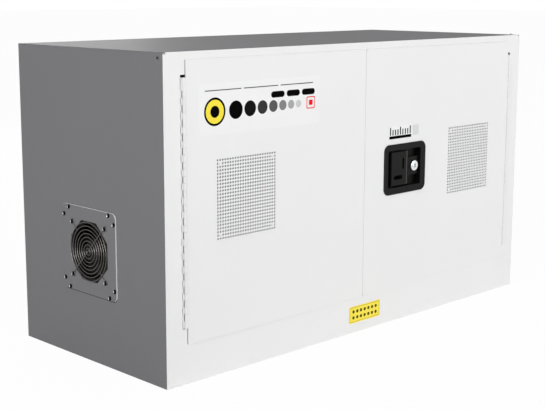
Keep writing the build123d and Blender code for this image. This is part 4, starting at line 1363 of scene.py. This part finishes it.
    def build_blade(self, x: float) -> Object:
        """Shape one blade from a flat grid, twisted and swept from root to tip.

        Args:
            x: Where the blade's middle line stands, in millimetres.

        Returns:
            The blade, pointing up from the rotor's axis.
        """
        bpy.ops.object.select_all(action="DESELECT")
        bpy.ops.mesh.primitive_grid_add(x_subdivisions=6, y_subdivisions=6, size=2)
        blade = settle("blade")
        root, flare = self.flare
        with editing(blade):
            mesh = bmesh.from_edit_mesh(blade.data)
            for vert in mesh.verts:
                across, along = vert.co.x, (vert.co.y + 1) / 2
                radius = self.hub - 1 + along * (self.tip - self.hub + 1)
                pitch = radians(self.root_pitch + along * (self.tip_pitch - self.root_pitch))
                half = across * self.chord / 2 * (root + flare * along)
                swing = radians(self.sweep) * along + half * cos(pitch) / radius
                depth = half * sin(pitch) + self.camber * (1 - across**2)
                spot = (x + depth, radius * sin(swing), self.z + radius * cos(swing))
                vert.co = metres(spot)
            bmesh.update_edit_mesh(blade.data)
            bpy.ops.mesh.select_all(action="SELECT")
            bpy.ops.mesh.normals_make_consistent(inside=False)
        work(blade, "SOLIDIFY", thickness=self.blade * MM, offset=0.0)
        return blade


@dataclass
class Label:
    """A film with plain printed shapes, stuck on a flat face that looks to the front."""

    name: str
    body: str
    face: float  # the face that it is stuck on
    film: float = 0.15  # thickness of the film
    ink: float = 0.05  # thickness of a printed shape
    roundness: float = 0.99  # a dot's corners, as a share of its radius

    def lay_film(self, low: Pair, high: Pair, corner: float, colour: str) -> None:
        """Lay the film between two corners, given as X and Z."""
        near, far = (low[0], self.face - self.film, low[1]), (high[0], self.face, high[1])
        film = Film(f"{self.name}_film_{colour}", "", colour, 0.42, 0.3)
        dress(tablet(f"{self.name}_film", near, far, corner), self.body, film)

    def print_shape(
        self, what: str, low: Pair, high: Pair, corner: float, colour: str, layer: int = 1
    ) -> None:
        """Print a rounded rectangle on the film.

        Args:
            what: The shape's name.
            low: Its lower left corner, as X and Z.
            high: Its upper right corner.
            corner: Radius of its corners.
            colour: Its ink, as sRGB hex.
            layer: How many inks deep it lies.
        """
        back = self.face - self.film - (layer - 1) * self.ink
        near, far = (low[0], back - self.ink, low[1]), (high[0], back, high[1])
        ink = Film(f"print_{colour}", "", colour, 0.5, 0.01)
        dress(tablet(f"{self.name}_{what}", near, far, corner), self.body, ink)

    def print_dot(
        self, what: str, x: float, z: float, radius: float, ink: str, layer: int = 1
    ) -> None:
        """Print a round dot.

        Args:
            what: The dot's name.
            x: Its centre.
            z: Its centre's height.
            radius: Its radius.
            ink: Its ink, as sRGB hex.
            layer: How many inks deep it lies.
        """
        low, high = (x - radius, z - radius), (x + radius, z + radius)
        self.print_shape(what, low, high, radius * self.roundness, ink, layer)


@dataclass
class DotLabel(Label):
    """The large label on the left door: a fading row of dots between two plain badges."""

    low: Pair = (-467.4, 457.0)
    high: Pair = (-152.4, 550.7)
    round_badge: Triple = (38.0, 42.0, 26.0)  # its centre from the label's corner, and its radius
    square_badge: Triple = (25.0, 12.0, 3.5)  # its centre from the end, half its width, its corners
    next_to: float = 9.0  # from the round badge to the first dot
    first: float = 17.0  # radius of the row's first dot
    shrink: float = 0.87  # of each dot from the one before it
    space: float = 4.5
    margin: float = 14.0  # from the film's edges to the rules and the capsules
    rule: Triple = (90.0, 1.8, 96.0)  # the rules' length, height and pitch
    capsule: Triple = (36.0, 12.0, 6.0)  # the capsules' length, height and spacing
    drop: float = 10.0  # from the rules to the capsules
    cores: Triple = (1.0, 0.84, 0.42)  # a badge's edge, field and core, as shares of its size
    tones: tuple[str, ...] = ("020202", "141414", "3A3A3A", "5E5E5E", "8A8A8A", "B0B0B0", "D2D2D2")

    def build(self) -> None:
        """Lay the film and print its shapes."""
        self.lay_film(self.low, self.high, 3.0, "F4F4F4")
        along, up, radius = self.round_badge
        x, z = self.low[0] + along, self.low[1] + up
        self.badge("yellow_badge", x, z, radius, radius - 0.1, ("020202", "FFEC4C", "020202"))
        x += radius + self.next_to
        radius = self.first
        for k, tone in enumerate(self.tones):
            x += radius
            self.print_dot(f"dot_{k + 1}", x, z, radius, tone)
            x += radius + self.space
            radius *= self.shrink
        along, half, corner = self.square_badge
        x = self.high[0] - along
        self.badge("red_badge", x, z, half, corner, ("F51622", "F4F4F4", "F51622"))
        long, high, pitch = self.rule
        foot = self.high[1] - self.margin
        for k in range(3):
            start = self.low[0] + self.margin + pitch * k
            ends = (start, foot), (start + long, foot + high)
            self.print_shape(f"rule_{k + 1}", *ends, 0.85, "4A4A4A")
        long, high, gap = self.capsule
        foot -= self.drop + high
        for k in range(3):
            start = self.high[0] - self.margin - (3 - k) * (long + gap) + gap
            ends = (start, foot), (start + long, foot + high)
            self.print_shape(f"capsule_{k + 1}", *ends, 0.49 * high, "020202")

    def badge(
        self, what: str, x: float, z: float, half: float, corner: float, inks: Sequence[str]
    ) -> None:
        """Print a badge from its edge to its core.

        Args:
            what: The badge's name.
            x: Its centre.
            z: Its centre's height.
            half: Half its width.
            corner: Radius of its corners.
            inks: The inks of its edge, its field and its core.
        """
        for layer, (share, ink) in enumerate(zip(self.cores, inks), 1):
            reach = half * share
            ends = (x - reach, z - reach), (x + reach, z + reach)
            self.print_shape(f"{what}_{layer}", *ends, corner * share, ink, layer)


@dataclass
class LatchLabel(Label):
    """The small label over the latch: a plain scale of ticks over a dark band."""

    low: Pair = (64.6, 402.2)
    high: Pair = (140.4, 429.4)
    margin: float = 3.0  # from the film's ends to the ticks
    ticks: int = 9
    tick: float = 3.6  # a tick's width
    foot: float = 8.4  # from the film's lower edge to the ticks
    rises: Pair = (17.0, 12.0)  # height of every fourth tick, and of the others
    band: Triple = (1.0, 0.6, 7.0)  # from the film's ends to the band, its foot and its head
    square: tuple[Pair, Pair] = ((144.8, 406.0), (164.8, 428.0))  # the plain patch beside the film

    def build(self) -> None:
        """Lay the film and print its shapes."""
        self.lay_film(self.low, self.high, 1.0, "F6F6F6")
        left, right = self.low[0] + self.margin, self.high[0] - self.margin
        step = (right - left - self.tick) / (self.ticks - 1)
        foot = self.low[1] + self.foot
        for k in range(self.ticks):
            x, rise = left + k * step, self.rises[k % 4 != 0]
            ends = (x, foot), (x + self.tick, foot + rise)
            self.print_shape(f"tick_{k + 1}", *ends, 0.6, "0C0C0C")
        end, under, over = self.band
        ends = (self.low[0] + end, self.low[1] + under), (self.high[0] - end, self.low[1] + over)
        self.print_shape("band", *ends, 1.0, "020202")
        self.print_shape("corner_square", *self.square, 1.0, "E2E3E4")


@dataclass
class RailLabel(Label):
    """The yellow label on the bottom rail, with two rows of plain dots."""

    low: Pair = (-51.0, 20.7)
    high: Pair = (49.0, 57.1)
    roundness: float = 0.98
    edge: float = 2.2  # from the film's edge to the border
    line: float = 1.2  # the border's width
    columns: int = 7
    pitch: Pair = (12.0, 6.5)  # between the columns, and from the middle to either row
    dot: float = 3.6

    def build(self) -> None:
        """Lay the film and print its border and dots."""
        self.lay_film(self.low, self.high, 2.5, "FFEC5C")
        self.print_inset("border", self.edge, 2.0, "D0AE2A", 1)
        self.print_inset("field", self.edge + self.line, 1.4, "FFEC5C", 2)
        middle_x, middle_z = ((self.low[k] + self.high[k]) / 2 for k in range(2))
        for row in (-1, 1):
            for k in range(self.columns):
                x = middle_x + self.pitch[0] * (k - (self.columns - 1) / 2)
                z = middle_z + self.pitch[1] * row
                self.print_dot(f"dot_{row + 1}_{k + 1}", x, z, self.dot, "5A4E12", 3)

    def print_inset(self, what: str, gap: float, corner: float, ink: str, layer: int) -> None:
        """Print a rounded rectangle that follows the film's outline.

        Args:
            what: The shape's name.
            gap: How far inside the outline it ends.
            corner: Radius of its corners.
            ink: Its ink, as sRGB hex.
            layer: How many inks deep it lies.
        """
        low = self.low[0] + gap, self.low[1] + gap
        high = self.high[0] - gap, self.high[1] - gap
        self.print_shape(what, low, high, corner, ink, layer)


@dataclass
class Interior:
    """The shelf, the socket strip and their brackets."""

    edge: float = 0.5

    def build(self) -> None:
        """Dress the pieces inside the case."""
        ease_nodes("case", LINER_COAT, self.edge, "shelf")
        ease_nodes("case", STRIP_COAT, self.edge, "socket_strip")
        coat(SOCKET_FACE, "sockets")
        coat(ZINC, "shelf_brackets", "strip_brackets")


# ---------------------------------------------------------------------------------------
# Camera, lamps and floor
# ---------------------------------------------------------------------------------------
@dataclass(frozen=True)
class Lamp:
    """A square soft lamp.

    Attributes:
        name: Its name.
        place: Where it hangs.
        aim: The point that it faces.
        size: The length of its sides.
        power: Its power, in watts.
    """

    name: str
    place: Triple
    aim: Triple
    size: float
    power: float


def plain_sight(tree: Tree) -> Socket:
    """Whether a ray comes from the camera, a reflection or a clear piece, as 1 or 0."""
    path = add_node(tree, "ShaderNodeLightPath").outputs
    glassy = add_node(
        tree,
        "ShaderNodeMath",
        links={0: path["Is Glossy Ray"], 1: path["Is Transmission Ray"]},
        operation="MAXIMUM",
    )
    seen = add_node(
        tree,
        "ShaderNodeMath",
        links={0: path["Is Camera Ray"], 1: glassy.outputs[0]},
        operation="MAXIMUM",
    )
    return seen.outputs[0]


@dataclass
class Studio:
    """A plain white studio with soft light."""

    eye: Triple = (-1803.46, -1765.42, 720.30)  # the camera's place
    azimuth: float = 43.785  # its heading, clockwise from the depth axis, in degrees
    tilt: float = -10.003  # its tilt above the level
    lens: float = 75.473  # for a picture 36 mm wide
    shift: Pair = (0.0354, -0.0293)
    ambient: float = 0.3
    floor_show: float = 0.97  # share of plain white in the floor that the camera sees
    lamps: tuple[Lamp, ...] = (
        Lamp("left_key", (-2200, -3500, 700), (-200, 0, 250), 2200, 18.0),
        Lamp("right_key", (2000, -3600, 500), (300, 0, 200), 2200, 88.0),
        Lamp("side", (-2700, -1300, 2300), (-500, 0, 300), 600, 33.5),
        Lamp("fill", (-2500, 300, 60), (-500, 50, 200), 700, 15.0),
        Lamp("rim", (1200, 3240, 1480), (-450, 0, 610), 1600, 25.0),
    )

    def build(self) -> None:
        """Set the camera, the lamps, the world and the floor."""
        self.set_camera()
        for lamp in self.lamps:
            self.set_lamp(lamp)
        self.set_world()
        self.lay_floor()

    def set_camera(self) -> None:
        """Place the camera and make it the scene's own."""
        camera = bpy.data.objects.new("camera", bpy.data.cameras.new("camera"))
        camera.data.sensor_width = 36.0
        camera.data.lens = self.lens
        camera.data.shift_x, camera.data.shift_y = self.shift
        camera.data.clip_end = 100.0
        camera.location = metres(self.eye)
        camera.rotation_euler = (pi / 2 + radians(self.tilt), 0, -radians(self.azimuth))
        bpy.context.scene.collection.objects.link(camera)
        bpy.context.scene.camera = camera

    @staticmethod
    def set_lamp(lamp: Lamp) -> None:
        """Hang a lamp and turn it to what it lights."""
        light = bpy.data.lights.new(lamp.name, "AREA")
        light.energy = lamp.power
        light.size = lamp.size * MM
        holder = bpy.data.objects.new(lamp.name, light)
        holder.location = metres(lamp.place)
        way = metres(lamp.aim) - holder.location
        holder.rotation_euler = way.to_track_quat("-Z", "Y").to_euler()
        bpy.context.scene.collection.objects.link(holder)

    def set_world(self) -> None:
        """Light the room evenly, and show plain white to the camera and in reflections."""
        world = bpy.data.worlds.new("studio")
        world.use_nodes = True
        tree = world.node_tree
        tree.nodes.clear()
        values = {"To Min": self.ambient, "To Max": 1.0}
        strength = add_node(tree, "ShaderNodeMapRange", values, {"Value": plain_sight(tree)})
        links = {"Strength": strength.outputs[0]}
        sky = add_node(tree, "ShaderNodeBackground", {"Color": (1, 1, 1, 1)}, links)
        add_node(tree, "ShaderNodeOutputWorld", links={"Surface": sky.outputs[0]})
        bpy.context.scene.world = world
        bpy.context.scene.view_settings.view_transform = "Standard"

    def lay_floor(self) -> None:
        """Lay a wide white floor that keeps a soft trace of the cabinet's shadow."""
        bpy.ops.object.select_all(action="DESELECT")
        bpy.ops.mesh.primitive_plane_add(size=60)
        floor = settle("floor")
        paint = bpy.data.materials.new("floor_paint")
        paint.use_nodes = True
        tree = paint.node_tree
        tree.nodes.clear()
        seen, most = {0: plain_sight(tree)}, {1: self.floor_show}
        share = add_node(tree, "ShaderNodeMath", most, seen, operation="MULTIPLY")
        matt = add_node(tree, "ShaderNodeBsdfDiffuse", {"Color": linear("F4F4F4")})
        white = add_node(tree, "ShaderNodeEmission", {"Color": (1, 1, 1, 1), "Strength": 1.0})
        shown = add_node(
            tree,
            "ShaderNodeMixShader",
            links={0: share.outputs[0], 1: matt.outputs[0], 2: white.outputs[0]},
        )
        add_node(tree, "ShaderNodeOutputMaterial", links={"Surface": shown.outputs[0]})
        floor.data.materials.append(paint)


def main() -> None:
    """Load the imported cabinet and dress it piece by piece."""
    logging.basicConfig(level=logging.INFO, format="%(name)s: %(message)s")
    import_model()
    Studio().build()
    Case().build()
    for side in Side:
        Door(side).build()
        PianoHinge(side).build()
    FlushLatch().build()
    ExhaustFan().build()
    door_face = box_of("left_door_skin")[0].y
    DotLabel("dot_label", "left_door", door_face).build()
    LatchLabel("latch_label", "right_door", door_face).build()
    RailLabel("rail_label", "case", box_of("bottom_rail")[0].y).build()
    Interior().build()


if __name__ == "__main__":
    main()
